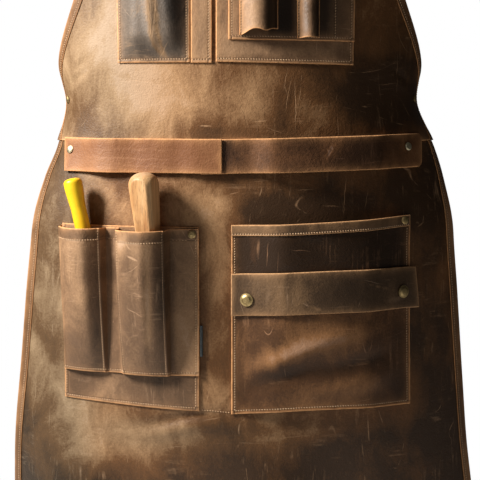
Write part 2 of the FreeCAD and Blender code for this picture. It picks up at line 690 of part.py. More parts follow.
def make_tabs():
    t = 2.0
    for word, sign in (("left", -1), ("right", 1)):
        x, out = sign * S["ring_apart"] / 2, S["rod_reach"]

        def middle(z):
            return -out - at(x, z, (BIB_BACK + BIB_FACE) / 2).y

        front = [(z - S["ring_height"], middle(z) + 5.6) for z in (302, 322, 340)]
        rear = [(z - S["ring_height"], middle(z) - 3.8) for z in (340, 322, 302)]
        bend = [(-5, 4.7), (0, 3.3), (2.33, 2.33), (3.3, 0), (2.33, -2.33), (0, -3.3), (-6, -3.7)]
        tab = strap_piece(front + bend + rear, t, S["tab_wide"])
        tab.Placement = FreeCAD.Placement(V(x, -out, S["ring_height"] + WAIST),
                                          FreeCAD.Rotation(V(0, 0, 1), V(0, -1, 0), V(1, 0, 0), "XYZ"))
        keep("tab_" + word, tab)
        slope = math.atan2(middle(310) - middle(330), 20)
        way = V(0, -math.cos(slope), math.sin(slope))
        for k, z in enumerate((327, 309)):
            foot = V(x, -out - middle(z) + 4.9, z + WAIST)
            nodes = ["tab_" + word, "bib_panel"] + (["bib_top_band"] if z > 318 else [])
            rivet_at(f"tab_rivet_{word}_{'upper' if k == 0 else 'lower'}", foot, way, 11.6, nodes)


# ---------------------------------------------------------------- the whole apron
make_hook()
make_panels()
make_chest()
make_waist_strap()
make_tool_pocket()
make_cargo_pocket()
make_tools()
make_neck()
make_belt()
make_tabs()
doc.recompute()

for item in doc.Objects:
    if "Invalid" in item.State or "Error" in item.State:
        raise RuntimeError(f"{item.Name} did not build: {item.State}")
for name, item in made.items():
    shape = item.Shape
    if shape.isNull() or not shape.isValid() or shape.Volume <= 0:
        raise RuntimeError(f"{name} is not a sound solid")
    shape.exportStep(os.path.join("parts", name + ".step"))
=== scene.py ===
import math

import bmesh
import bpy
import numpy as np
from mathutils import Matrix, Vector


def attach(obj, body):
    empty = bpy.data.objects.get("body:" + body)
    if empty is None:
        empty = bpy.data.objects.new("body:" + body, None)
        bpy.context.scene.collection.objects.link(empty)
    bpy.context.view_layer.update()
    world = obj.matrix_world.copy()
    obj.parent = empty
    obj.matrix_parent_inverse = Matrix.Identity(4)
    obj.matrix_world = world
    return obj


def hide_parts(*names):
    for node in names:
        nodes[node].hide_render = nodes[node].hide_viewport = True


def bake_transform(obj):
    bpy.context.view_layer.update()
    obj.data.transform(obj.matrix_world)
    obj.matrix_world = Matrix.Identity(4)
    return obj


# A waxed-leather work apron hung by its neck strap from an iron hook.
# Lengths are millimetres until a mesh is made. Heights on the apron are above its waist seam.

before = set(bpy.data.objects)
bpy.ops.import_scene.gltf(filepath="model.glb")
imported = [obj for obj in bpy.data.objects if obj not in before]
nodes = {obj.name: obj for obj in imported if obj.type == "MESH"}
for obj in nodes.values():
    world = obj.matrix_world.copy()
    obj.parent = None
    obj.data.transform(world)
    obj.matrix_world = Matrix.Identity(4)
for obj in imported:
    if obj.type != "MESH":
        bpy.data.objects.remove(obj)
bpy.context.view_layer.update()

WAIST = -675.0
LEATHER, PATCH, STRAP, GAP = 2.0, 1.7, 2.4, 0.4
BIB_BACK = LEATHER + GAP
BIB_FACE = BIB_BACK + LEATHER
CHEST = BIB_FACE + GAP

# ---------------------------------------------------------------- the worn shape
# height, sideways shift, half width, depth, y of the front crest
SECTIONS = [
    (345, 0, 190, 22, -86.5), (255, 0, 193, 55, -103), (165, -1, 197.5, 80, -113),
    (99, -1, 205, 92, -116), (50, 2, 199.5, 95, -117), (0, 7, 218, 98, -117),
    (-33, 5, 232.5, 104, -119), (-99, 2, 256, 112, -121), (-275, 2.5, 276, 118, -121),
    (-363, 0, 284, 120, -120), (-530, 0, 298, 122, -118)]
BIB_EDGE = [
    (345, 41), (300, 45), (255, 50), (210, 56.5), (165, 65.5), (99, 81), (66, 93), (50, 95),
    (33, 92), (8, 83)]
SKIRT_EDGE = [
    (20, 83), (8, 83), (0, 82), (-33, 78.7), (-99, 71.5), (-165, 70), (-275, 70), (-363, 70.5),
    (-530, 71)]
# Places where something is riveted through, so the hide stays put (x, height)
FIXED = [(-187.5, -3), (184.5, 1), (-52, -92), (181.5, -80), (8, -163), (179.2, -159.3),
         (-100, 318), (100, 318), (-193, 55), (197, 55)]


def smooth(rows, z, col):
    table = np.array(sorted(rows), float)
    zs, ys = table[:, 0], table[:, col]
    last = len(zs) - 1
    low, high = np.maximum(np.arange(last + 1) - 1, 0), np.minimum(np.arange(last + 1) + 1, last)
    slope = (ys[high] - ys[low]) / (zs[high] - zs[low])
    i = np.clip(np.searchsorted(zs, z, side="right") - 1, 0, last - 1)
    span = zs[i + 1] - zs[i]
    u = np.clip((z - zs[i]) / span, 0, 1)
    return ((2 * u**3 - 3 * u * u + 1) * ys[i] + (u**3 - 2 * u * u + u) * span * slope[i]
            + (3 * u * u - 2 * u**3) * ys[i + 1] + (u**3 - u * u) * span * slope[i + 1])


def ease(u):
    u = np.clip(u, 0, 1)
    return u * u * (3 - 2 * u)


def bump(u, low, high, soft):
    rise = np.clip((u - low) / soft, 0, 1) * np.clip((high - u) / soft, 0, 1)
    return rise * rise * (3 - 2 * rise)


def blob(x, z, cx, cz, rx, rz, turn=0.0):
    """A soft oval spot, 1 at its middle."""
    c, s = math.cos(math.radians(turn)), math.sin(math.radians(turn))
    a, b = (x - cx) * c + (z - cz) * s, -(x - cx) * s + (z - cz) * c
    return np.exp(-(a / rx) ** 2 - (b / rz) ** 2)


def drape(x, z):
    """How the hung hide waves in and out."""
    low = ease((-270 - z) / 230)
    wave = 7.0 * low * (np.sin(x / 36 + 0.6) + 0.45 * np.sin(x / 19 + z / 160 + 2))
    wave += 1.2 * np.sin(x / 47 + z / 60 + 1) * ease((z + 40) / 60) * ease((330 - z) / 60)
    wave += 1.6 * np.sin(x / 33 + z / 85 + 0.4) * ease((-40 - z) / 60)
    wave -= 3.2 * blob(x, z + 6 * np.sin(x / 26), -66, -303, 42, 6, 4)
    wave += 2.4 * blob(x, z + 6 * np.sin(x / 26), -66, -314, 46, 8, 4)
    wave -= 2.6 * blob(x, z, -182, 78, 15, 3.2, 38) + 2.0 * blob(x, z, -176, 92, 13, 3, 42)
    wave += 1.5 * blob(x, z, -180, 85, 15, 3.2, 40)
    wave += 2.0 * blob(x, z, 186, 66, 14, 4, -35) - 1.5 * blob(x, z, 178, 80, 12, 3, -40)
    hold = 1.0
    for fx, fz in FIXED:
        hold = hold * (1 - np.exp(-((x - fx) ** 2 + (z - fz) ** 2) / 24.0**2))
    return wave * hold


def around(phi, z, out):
    shift, wide, deep, crest = (smooth(SECTIONS, z, k) for k in (1, 2, 3, 4))
    nx, ny = deep * np.sin(phi), -wide * np.cos(phi)
    n = np.hypot(nx, ny)
    x = shift + wide * np.sin(phi)
    out = out + drape(x, z)
    return np.stack(np.broadcast_arrays(x + out * nx / n, crest + deep * (1 - np.cos(phi)) + out * ny / n,
                                        z + WAIST), axis=-1)


def at(x, z, out=0.0):
    shift, wide = smooth(SECTIONS, z, 1), smooth(SECTIONS, z, 2)
    return around(np.arcsin(np.clip((x - shift) / wide, -1, 1)), z, out)


def facing(x, z, out):
    """Outward directions of the surface at(x, z, out(x, z))."""
    side = at(x + 0.4, z, out(x + 0.4, z)) - at(x - 0.4, z, out(x - 0.4, z))
    up = at(x, z + 0.4, out(x, z + 0.4)) - at(x, z - 0.4, out(x, z - 0.4))
    n = np.cross(side, up)
    return n / np.linalg.norm(n, axis=-1, keepdims=True)


# ---------------------------------------------------------------- meshes
def mesh_piece(name, points, faces, material, marks=None):
    mesh = bpy.data.meshes.new(name)
    mesh.from_pydata((np.asarray(points) * 0.001).tolist(), [], faces)
    for word, values in (marks or {}).items():
        mesh.attributes.new(word, "FLOAT", "POINT").data.foreach_set(
            "value", np.asarray(values, np.float32).ravel())
    work = bmesh.new()
    work.from_mesh(mesh)
    bmesh.ops.recalc_face_normals(work, faces=work.faces)
    work.to_mesh(mesh)
    work.free()
    mesh.polygons.foreach_set("use_smooth", np.ones(len(mesh.polygons), bool))
    mesh.materials.append(material)
    piece = bpy.data.objects.new(name, mesh)
    bpy.context.scene.collection.objects.link(piece)
    return piece


def lines(length, step, marks=()):
    """Places across a piece: close together at its edges and at each mark."""
    edge = [0, 0.15, 0.4, 0.8, 1.5, 2.6]
    spots = edge + [length - d for d in edge]
    for m in marks:
        spots += [m + d for d in (-1.5, -0.8, -0.3, 0.3, 0.8, 1.5)]
    spots += list(np.linspace(2.6, length - 2.6, max(2, round((length - 5.2) / step))))
    spots = sorted(s for s in spots if 0 <= s <= length)
    kept = [spots[0]]
    for s in spots[1:]:
        if s - kept[-1] > 0.12:
            kept.append(s)
    kept[-1] = length
    return np.array(kept)


def grid_faces(n, m):
    """Faces of a closed sheet of two n by m grids, front first."""
    faces, size = [], n * m
    for i in range(n - 1):
        for j in range(m - 1):
            a, b, c, d = i * m + j, i * m + j + 1, (i + 1) * m + j + 1, (i + 1) * m + j
            faces += [(a, b, c, d), (size + d, size + c, size + b, size + a)]
    rim = ([j for j in range(m)] + [i * m + m - 1 for i in range(1, n)]
           + [(n - 1) * m + j for j in range(m - 2, -1, -1)] + [i * m for i in range(n - 2, 0, -1)])
    for a, b in zip(rim, rim[1:] + rim[:1]):
        faces.append((b, a, size + a, size + b))
    return faces


def slab(name, material, wide, high, place, back, thick, step=4.0, across=(), down=(), grooves=(), tone=None,
         shade=None, grey=None, raw=0.9):
    """A closed sheet of hide with rounded raw edges and a groove under each stitch line.

    place(s, f, out) gives its points, s and f being shares of its width and height; across and
    down are places (mm) where more detail is needed; grooves are (kind, distance) with kind one
    of left, right, top, foot."""
    s, f = lines(wide, step, across), lines(high, step, down)
    f2, s2 = np.meshgrid(f, s, indexing="ij")
    edges = {"left": s2, "right": wide - s2, "top": f2, "foot": high - f2}
    near = np.minimum.reduce(list(edges.values()))
    r = 0.45 * thick
    fall = r - np.sqrt(np.maximum(r * r - (r - np.minimum(near, r)) ** 2, 0))
    sunk = np.zeros_like(near)
    for kind, g in grooves:
        sunk = np.maximum(sunk, 0.45 * np.exp(-((edges[kind] - g) / 0.75) ** 2))
    share = (s2 / wide, f2 / high)
    rear = back(*share)
    front = place(*share, rear + thick - fall - sunk)
    behind = place(*share, rear + fall)
    points = np.concatenate([front.reshape(-1, 3), behind.reshape(-1, 3)])
    rim = np.clip(1 - (near - 0.3) / raw, 0, 1).ravel()
    worn = np.exp(-near / 3.0).ravel()
    # tone is the hide's mottling with some painted light; shade paints shadow into the colour as a painted shade mark;
    # grey paints a sheen on the lit side
    colour, painted_shade, painted_sheen_grey = (np.zeros(near.size) if f is None else f(front[..., 0], front[..., 2] - WAIST).ravel()
                         for f in (tone, shade, grey))
    marks = {"rim": np.tile(rim, 2), "worn": np.tile(worn, 2), "tone": np.tile(colour, 2),
             "sunk": np.concatenate([sunk.ravel(), 0 * sunk.ravel()]), "painted_shade": np.tile(painted_shade, 2), "grey": np.tile(painted_sheen_grey, 2),
             "flesh": np.concatenate([np.zeros(near.size), np.ones(near.size)])}
    return mesh_piece(name, points, grid_faces(len(f), len(s)), material, marks)


def patch(name, material, low, high, top, foot, back, thick, tilt=(0.0, 0.0), clip=0.0, bow=None, slant=(0.0, 0.0),
          arch=0.0, **more):
    """A patch sewn on the apron between x low..high and heights top..foot at x 0.

    clip cuts its right corners off; bow lifts its foot by a function of the share across; slant
    moves its right edge at the top and foot; arch lifts its middle."""
    wide, tall = high - low, top - foot

    def where(s, f):
        cut = np.maximum(clip - np.minimum(f, 1 - f) * tall, 0) if clip else 0.0
        x = low + (wide + slant[0] + (slant[1] - slant[0]) * f) * s
        x = np.where(x > high - cut, high - cut, x) if clip else x
        z = top + (foot - top) * f + (tilt[0] + (tilt[1] - tilt[0]) * f) * x
        return x, z + arch * np.sin(math.pi * s) + (bow(s) * ease(4 * f - 3) if bow else 0.0)

    def place(s, f, out):
        x, z = where(s, f)
        return at(x, z, out)

    return slab(name, material, wide, tall, place, lambda s, f: back(*where(s, f)), thick, **more)


def panel(name, material, edge, top, foot, back, thick, **more):
    """A panel whose side edges come round to the angles of a table."""
    wide = 2 * 0.9 * float(np.mean(smooth(SECTIONS, np.array([top, foot], float), 2)))

    def where(s, f):
        z = top + (foot - top) * f
        return (2 * s - 1) * np.radians(smooth(edge, z, 1)), z

    def place(s, f, out):
        phi, z = where(s, f)
        return around(phi, z, out)

    return slab(name, material, wide, top - foot, place, lambda s, f: back + 0 * s, thick, **more)


def stitch_row(path, normal, pitch=2.9, gauge=0.56):
    """Thread seen on top of the hide along a path: one rounded dash for each stitch."""
    gap = np.linalg.norm(np.diff(path, axis=0), axis=1)
    run = np.concatenate([[0], np.cumsum(gap)])
    count = max(1, int(run[-1] / pitch))
    pitch = run[-1] / count
    start = np.arange(count)[:, None] * pitch
    t = np.linspace(0, 1, 6)[None, :]
    where = start + pitch * (0.1 + 0.8 * t)
    spot = np.stack([np.interp(where, run, path[:, k]) for k in range(3)], -1)
    up = np.stack([np.interp(where, run, normal[:, k]) for k in range(3)], -1)
    up /= np.linalg.norm(up, axis=-1, keepdims=True)
    along = spot[:, -1:] - spot[:, :1]
    along = along / np.linalg.norm(along, axis=-1, keepdims=True)
    side = np.cross(np.broadcast_to(along, up.shape), up)
    arch = np.sin(math.pi * t)[..., None]
    centre = spot + up * (0.55 * arch - 0.25) + side * (0.35 * (t[..., None] - 0.5))
    fat = gauge * (0.35 + 0.65 * arch**0.5)
    turn = np.linspace(0, 2 * math.pi, 6, endpoint=False)
    ring = (centre[:, :, None] + fat[:, :, None] * (np.cos(turn)[None, None, :, None] * side[:, :, None]
            + 0.8 * np.sin(turn)[None, None, :, None] * up[:, :, None]))
    points = ring.reshape(-1, 3)
    faces = []
    for k in range(count):
        base = k * 36
        for i in range(5):
            for j in range(6):
                a, b = base + i * 6 + j, base + i * 6 + (j + 1) % 6
                faces.append((a, b, b + 6, a + 6))
        faces.append(tuple(base + j for j in range(5, -1, -1)))
        faces.append(tuple(base + 30 + j for j in range(6)))
    return points, faces


def sew(name, body, material, rows):
    """One piece of thread for several rows; each row is (xs, zs, out) with out a surface."""
    points, faces, total = [], [], 0
    for x, z, out in rows:
        x, z = np.asarray(x, float), np.asarray(z, float)
        t = np.linspace(0, len(x) - 1, 240)
        x, z = np.interp(t, np.arange(len(x)), x), np.interp(t, np.arange(len(z)), z)
        p, q = stitch_row(at(x, z, out(x, z) - 0.35), facing(x, z, out))
        points.append(p)
        faces += [tuple(i + total for i in face) for face in q]
        total += len(p)
    piece = mesh_piece(name, np.concatenate(points), faces, material)
    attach(piece, body)
    return piece


# ---------------------------------------------------------------- materials
class Paint:
    """A material under construction."""

    def __init__(self, name):
        self.material = bpy.data.materials.new(name)
        self.material.use_nodes = True
        self.tree = self.material.node_tree
        self.shader = self.tree.nodes["Principled BSDF"]
        self.spot = self.add("ShaderNodeTexCoord").outputs["Object"]

    def add(self, kind, **settings):
        node = self.tree.nodes.new(kind)
        for word, value in settings.items():
            setattr(node, word, value)
        return node

    def feed(self, socket, value):
        if isinstance(value, bpy.types.NodeSocket):
            self.tree.links.new(value, socket)
        elif isinstance(value, (tuple, list)) and len(value) == 3 and socket.type == "RGBA":
            socket.default_value = (*value, 1)
        else:
            socket.default_value = value

    def maths(self, kind, a, b=0.0, clamp=False):
        node = self.add("ShaderNodeMath", operation=kind, use_clamp=clamp)
        self.feed(node.inputs[0], a)
        self.feed(node.inputs[1], b)
        return node.outputs[0]

    def noise(self, scale, detail=3.0, rough=0.55, warp=0.0, stretch=(1, 1, 1), turn=(0, 0, 0)):
        node = self.add("ShaderNodeTexNoise")
        spot = self.spot
        if stretch != (1, 1, 1) or turn != (0, 0, 0):
            shape = self.add("ShaderNodeMapping")
            self.feed(shape.inputs["Vector"], spot)
            shape.inputs["Scale"].default_value = stretch
            shape.inputs["Rotation"].default_value = turn
            spot = shape.outputs[0]
        self.feed(node.inputs["Vector"], spot)
        node.inputs["Scale"].default_value = scale
        node.inputs["Detail"].default_value = detail
        node.inputs["Roughness"].default_value = rough
        node.inputs["Distortion"].default_value = warp
        return node.outputs["Fac"]

    def cells(self, scale, feature="F1"):
        node = self.add("ShaderNodeTexVoronoi", feature=feature)
        self.feed(node.inputs["Vector"], self.spot)
        node.inputs["Scale"].default_value = scale
        return node.outputs["Distance"]

    def streak(self, spot, x, z, long, thin, turn, strength):
        """A thin bright line across the front, middle at x, z mm, turned anticlockwise."""
        shape = self.add("ShaderNodeMapping", vector_type="TEXTURE")
        self.feed(shape.inputs["Vector"], spot)
        shape.inputs["Location"].default_value = (x / 1000, 0, (z + WAIST) / 1000)
        shape.inputs["Rotation"].default_value = (0, -math.radians(turn), 0)
        shape.inputs["Scale"].default_value = (long / 2000, 100, thin / 2000)
        glow = self.add("ShaderNodeTexGradient", gradient_type="SPHERICAL")
        self.feed(glow.inputs["Vector"], shape.outputs[0])
        return self.span(glow.outputs["Fac"], 0.0, 0.7, 0.0, strength)

    def wobble(self, size):
        node = self.add("ShaderNodeTexNoise")
        self.feed(node.inputs["Vector"], self.spot)
        node.inputs["Scale"].default_value = 45
        shift = self.add("ShaderNodeVectorMath", operation="SUBTRACT")
        self.feed(shift.inputs[0], node.outputs["Color"])
        shift.inputs[1].default_value = (0.5, 0.5, 0.5)
        small = self.add("ShaderNodeVectorMath", operation="SCALE")
        self.feed(small.inputs[0], shift.outputs[0])
        small.inputs["Scale"].default_value = size / 1000
        whole = self.add("ShaderNodeVectorMath", operation="ADD")
        self.feed(whole.inputs[0], self.spot)
        self.feed(whole.inputs[1], small.outputs[0])
        return whole.outputs[0]

    def mark(self, word):
        return self.add("ShaderNodeAttribute", attribute_name=word).outputs["Fac"]

    def span(self, value, low, high, to_low=0.0, to_high=1.0):
        node = self.add("ShaderNodeMapRange")
        self.feed(node.inputs["Value"], value)
        for word, number in (("From Min", low), ("From Max", high), ("To Min", to_low), ("To Max", to_high)):
            node.inputs[word].default_value = number
        return node.outputs[0]

    def mix(self, factor, a, b, kind="MIX"):
        node = self.add("ShaderNodeMix", data_type="RGBA", blend_type=kind)
        self.feed(node.inputs["Factor"], factor)
        self.feed(node.inputs["A"], a)
        self.feed(node.inputs["B"], b)
        return node.outputs["Result"]

    def ramp(self, value, stops):
        node = self.add("ShaderNodeValToRGB")
        self.feed(node.inputs[0], value)
        while len(node.color_ramp.elements) < len(stops):
            node.color_ramp.elements.new(0.5)
        for element, (spot, colour) in zip(node.color_ramp.elements, stops):
            element.position = spot
            element.color = (*colour, 1)
        return node.outputs[0]

    def relief(self, height, strength, depth):
        node = self.add("ShaderNodeBump")
        node.inputs["Strength"].default_value = strength
        node.inputs["Distance"].default_value = depth
        self.feed(node.inputs["Height"], height)
        self.feed(self.shader.inputs["Normal"], node.outputs[0])

    def set(self, **sockets):
        for word, value in sockets.items():
            self.feed(self.shader.inputs[word.replace("_", " ")], value)
        return self.material


def leather(name, dark, mid, light, scuffs=0.5, mottle=1.0, gloss=0.5, rim=(0.80, 0.40, 0.17), shift=(0, 0, 0),
            streaks=()):
    """Waxed pull-up hide: dark where the wax sits, pale tan where it was bent or rubbed.

    streaks are single thin bright lines, scratches on most hides and on the pocket hide also a painted highlight along
    a tool slot's ridge: x, height, length, width, turn and strength."""
    p = Paint(name)
    lit = 0.0
    if streaks:
        loose = p.wobble(7)
        for row in streaks:
            lit = p.maths("MAXIMUM", lit, p.streak(loose, *row))
    place = p.add("ShaderNodeMapping")
    p.feed(place.inputs["Vector"], p.spot)
    place.inputs["Location"].default_value = shift
    p.spot = place.outputs[0]
    broad = p.noise(9, 2, 0.5, 0.4)
    cloud = p.noise(30, 8, 0.66, 0.9, (1, 1, 0.6), (0, 0.4, 0))
    fine = p.noise(420, 3, 0.6)
    speck = p.noise(1300, 2, 0.5)
    value = p.maths("ADD", p.maths("MULTIPLY", p.maths("SUBTRACT", broad, 0.5), 0.95 * mottle),
                    p.maths("MULTIPLY", p.maths("SUBTRACT", cloud, 0.5), 0.75 * mottle))
    value = p.maths("ADD", value, p.maths("MULTIPLY", p.maths("SUBTRACT", fine, 0.5), 0.28))
    value = p.maths("ADD", value, p.maths("MULTIPLY", p.mark("tone"), 0.5))
    value = p.maths("ADD", value, 0.5, clamp=True)
    colour = p.ramp(value, [(0.12, dark), (0.5, mid), (0.82, light),
                            (1.0, tuple(1.1 * c + 0.06 for c in light))])
    # hairline scratches in three directions, broken up by a coarser pattern, and brushed scuffs
    scratches_and_streaks = 0.0
    for k, (size, stretch, turn) in enumerate(((15, (1, 1, 0.10), (0.2, 0.55, 0.3)), (13, (0.12, 1, 1), (0.1, 0.3, 0)),
                                               (20, (1, 1, 0.12), (0, -0.9, 0.2)))):
        vein = p.noise(size, 1.0, 0.4, 0.25, stretch, turn)
        thin = p.maths("ABSOLUTE", p.maths("SUBTRACT", vein, 0.46 + 0.04 * k))
        thin = p.span(thin, 0.0, 0.0022, 1.0, 0.0)
        broken = p.span(p.noise(22 + 9 * k, 3, 0.7), 0.53, 0.66)
        scratches_and_streaks = p.maths("ADD", scratches_and_streaks, p.maths("MULTIPLY", thin, broken), clamp=True)
    for lay, where in (((1, 1, 0.07), 0.54), ((0.07, 0.3, 1), 0.56)):
        brushed = p.span(p.noise(150, 4, 0.8, 0.3, lay, (0.3, 0.9 if lay[0] == 1 else 0.15, 0.2)), 0.54, 0.70)
        brushed = p.maths("MULTIPLY", brushed, p.span(p.noise(15 + 60 * (where - 0.54), 4, 0.7, 0.6), where - 0.02, where + 0.12, 0.0, 0.7))
        scratches_and_streaks = p.maths("MAXIMUM", scratches_and_streaks, brushed)
    scratches_and_streaks = p.maths("MULTIPLY", scratches_and_streaks, scuffs)
    # the streaks join the scratches; on the pocket hide one streak is a painted highlight
    if streaks:
        broken_streaks = p.maths("MULTIPLY", lit, p.span(p.noise(120, 4, 0.8), 0.3, 0.6, 0.35, 1.0))
        scratches_and_streaks = p.maths("MAXIMUM", scratches_and_streaks, broken_streaks)
    pale = tuple(min(1, 1.35 * c + 0.05) for c in light)
    colour = p.mix(scratches_and_streaks, colour, pale)
    colour = p.mix(p.span(speck, 0.25, 0.75, 0.22, 0.0), colour, (0.02, 0.012, 0.008))
    worn = p.maths("MULTIPLY", p.mark("worn"), p.span(cloud, 0.35, 0.6, 0.25, 0.95))
    colour = p.mix(worn, colour, tuple(0.5 * (a + b) for a, b in zip(light, rim)))
    colour = p.mix(p.maths("MULTIPLY", p.mark("sunk"), 1.1, clamp=True), colour, tuple(0.4 * c for c in dark))
    # painted shade: this mark darkens the colour where a shadow falls beside a raised part
    colour = p.mix(p.mark("painted_shade"), colour, tuple(0.22 * c for c in dark))
    # painted sheen: the grey mark cools and greys the colour on the lit left side, standing in for the key light's
    # sheen
    colour = p.mix(p.mark("grey"), colour, (0.66, 0.82, 1.0), "MULTIPLY")
    suede = p.mix(p.noise(160, 4, 0.7), (0.13, 0.075, 0.045), (0.30, 0.19, 0.12))
    colour = p.mix(p.mark("flesh"), colour, suede)
    colour = p.mix(p.mark("rim"), colour, p.mix(p.span(p.noise(300, 3, 0.7), 0.3, 0.6), tuple(0.55 * c for c in rim), rim))
    rough = p.maths("ADD", p.span(value, 0.2, 0.9, gloss - 0.06, gloss + 0.12),
                    p.maths("MULTIPLY", p.maths("MAXIMUM", p.mark("flesh"), p.mark("rim")), 0.4))
    grain = p.maths("ADD", p.maths("MULTIPLY", p.cells(650, "SMOOTH_F1"), 0.55), p.maths("MULTIPLY", fine, 0.8))
    grain = p.maths("ADD", grain, p.maths("MULTIPLY", p.noise(120, 5, 0.6, 0.6), 1.6))
    grain = p.maths("ADD", grain, p.maths("MULTIPLY", scratches_and_streaks, -0.6))
    p.relief(grain, 0.5, 0.0006)
    return p.set(Base_Color=colour, Roughness=rough, Specular_IOR_Level=0.3)


def metal(name, dark, bright, rough=0.34, tarnish=0.6):
    p = Paint(name)
    dirt = p.span(p.maths("ADD", p.maths("MULTIPLY", p.noise(210, 5, 0.65, 0.4), 0.7),
                          p.maths("MULTIPLY", p.noise(900, 3, 0.6), 0.3)), 0.36, 0.62)
    colour = p.mix(p.maths("MULTIPLY", dirt, tarnish), bright, dark)
    p.relief(p.noise(1500, 3, 0.6), 0.25, 0.0001)
    return p.set(Base_Color=colour, Metallic=1.0, Roughness=p.span(dirt, 0, 1, rough, rough + 0.25))


def iron(name):
    p = Paint(name)
    wear = p.span(p.noise(70, 6, 0.65, 0.3), 0.5, 0.75)
    colour = p.mix(wear, (0.022, 0.021, 0.02), (0.09, 0.07, 0.055))
    p.relief(p.maths("ADD", p.noise(260, 4, 0.6), p.cells(120, "SMOOTH_F1")), 0.5, 0.0006)
    return p.set(Base_Color=colour, Metallic=0.55, Roughness=p.span(wear, 0, 1, 0.5, 0.68))


def timber(name):
    """Ash or beech: fine pores and broad figure along the handle."""
    p = Paint(name)
    lean = (0.05, 0.07, 0.0)
    figure = p.noise(60, 4, 0.6, 0.7, (1, 1, 0.07), lean)
    pores = p.noise(900, 3, 0.6, 0.1, (1, 1, 0.03), lean)
    colour = p.ramp(figure, [(0.3, (0.38, 0.17, 0.06)), (0.5, (0.60, 0.33, 0.14)), (0.7, (0.72, 0.45, 0.23))])
    colour = p.mix(p.span(pores, 0.52, 0.66, 0.0, 0.55), colour, (0.2, 0.1, 0.045))
    colour = p.mix(p.maths("MULTIPLY", p.mark("end"), p.span(p.noise(130, 5, 0.7), 0.35, 0.65, 0.15, 0.8)),
                   colour, (0.52, 0.36, 0.24))
    p.relief(pores, 0.25, 0.0002)
    return p.set(Base_Color=colour, Roughness=p.span(pores, 0.3, 0.7, 0.42, 0.56), Specular_IOR_Level=0.4)


def plastic(name, colour, deep, rough):
    p = Paint(name)
    tint = p.mix(p.span(p.noise(45, 3, 0.6), 0.35, 0.65), colour, deep)
    p.relief(p.noise(420, 3, 0.5), 0.12, 0.0002)
    return p.set(Base_Color=tint, Roughness=p.span(p.noise(180, 4, 0.6), 0.3, 0.7, rough, rough + 0.1),
                 Subsurface_Weight=0.0)


def thread(name, pale, deep):
    p = Paint(name)
    twist = p.noise(1800, 2, 0.5)
    colour = p.mix(p.span(p.noise(90, 4, 0.7), 0.35, 0.65), pale, deep)
    colour = p.mix(p.span(twist, 0.4, 0.6, 0.3, 0.0), colour, tuple(0.4 * c for c in deep))
    p.relief(twist, 0.5, 0.0003)
    return p.set(Base_Color=colour, Roughness=0.7)


def woven(name):
    p = Paint(name)
    warp_ = p.noise(1400, 1, 0.4, 0, (1, 1, 0.2))
    weft = p.noise(1400, 1, 0.4, 0, (0.2, 0.2, 1))
    cloth = p.maths("MULTIPLY", warp_, weft)
    colour = p.mix(p.span(cloth, 0.15, 0.35), (0.016, 0.019, 0.021), (0.055, 0.066, 0.072))
    colour = p.mix(p.maths("MULTIPLY", p.mark("rim"), 0.5), colour, (0.10, 0.12, 0.125))
    p.relief(cloth, 0.6, 0.0004)
    return p.set(Base_Color=colour, Roughness=0.75)


MAIN = leather("main_hide", (0.050, 0.024, 0.010), (0.162, 0.070, 0.0235), (0.44, 0.245, 0.115), 0.62, 1.15, streaks=[
    (50, 76, 34, 0.9, 82, 0.5), (53, 60, 48, 0.9, 80, 0.55), (60, 48, 66, 1.0, 91, 0.8), (4, 38, 44, 0.9, -70, 0.4),
    (22, 31, 20, 2.4, 4, 0.6), (19, 28, 26, 0.8, 94, 0.35), (38, 20, 26, 0.9, -22, 0.45), (138, 47, 9, 2.0, -8, 0.4),
    (164, 72, 26, 1.0, 2, 0.28), (162, 67, 22, 0.8, 2, 0.2), (-38, 25, 16, 2.0, 0, 0.75), (-114, 74, 60, 1.6, -3, 0.4),
    (70, -43, 24, 1.0, 1, 0.5), (100, -62, 22, 1.2, -8, 0.5), (115, -50, 44, 1.2, 86, 0.55), (140, -55, 26, 0.9, 84, 0.35),
    (22, -44, 14, 2.2, 84, 0.5), (205, -86, 12, 2.2, 34, 0.4), (-184, -262, 20, 1.2, 30, 0.4), (-30, -300, 26, 1.2, 12, 0.4),
    (60, -322, 40, 1.0, 5, 0.4), (-208, -150, 22, 1.4, 74, 0.5), (-216, -206, 26, 1.2, 80, 0.4), (-204, -120, 9, 2.0, 20, 0.5)])
BINDING = leather("binding_hide", (0.07, 0.037, 0.018), (0.16, 0.078, 0.033), (0.34, 0.18, 0.085), 0.3, shift=(0.3, 0, 0))
POCKET = leather("pocket_hide", (0.066, 0.038, 0.021), (0.185, 0.104, 0.056), (0.40, 0.235, 0.125), 0.8, shift=(0, 0, 0.4),
                 streaks=[(-121, -103, 11, 1.8, -48, 0.7), (-115, -114.5, 17, 2.6, -27, 0.95), (-116, -127, 25, 0.9, 33, 0.7),
                          (-106, -106, 20, 0.8, 88, 0.3), (-187, -108, 14, 1.2, -8, 0.5), (-188, -116, 14, 1.4, -10, 0.5),
                          (-186, -125, 15, 1.2, 6, 0.45), (-189, -134, 12, 1.1, -4, 0.4), (-187, -168, 16, 1.1, 8, 0.4),
                          # the 5 mm wide streak at x -100 is a painted highlight along the second tool slot's ridge
                          (-60, -150, 30, 2.0, 86, 0.25), (-100, -190, 70, 5, 89, 0.35)])
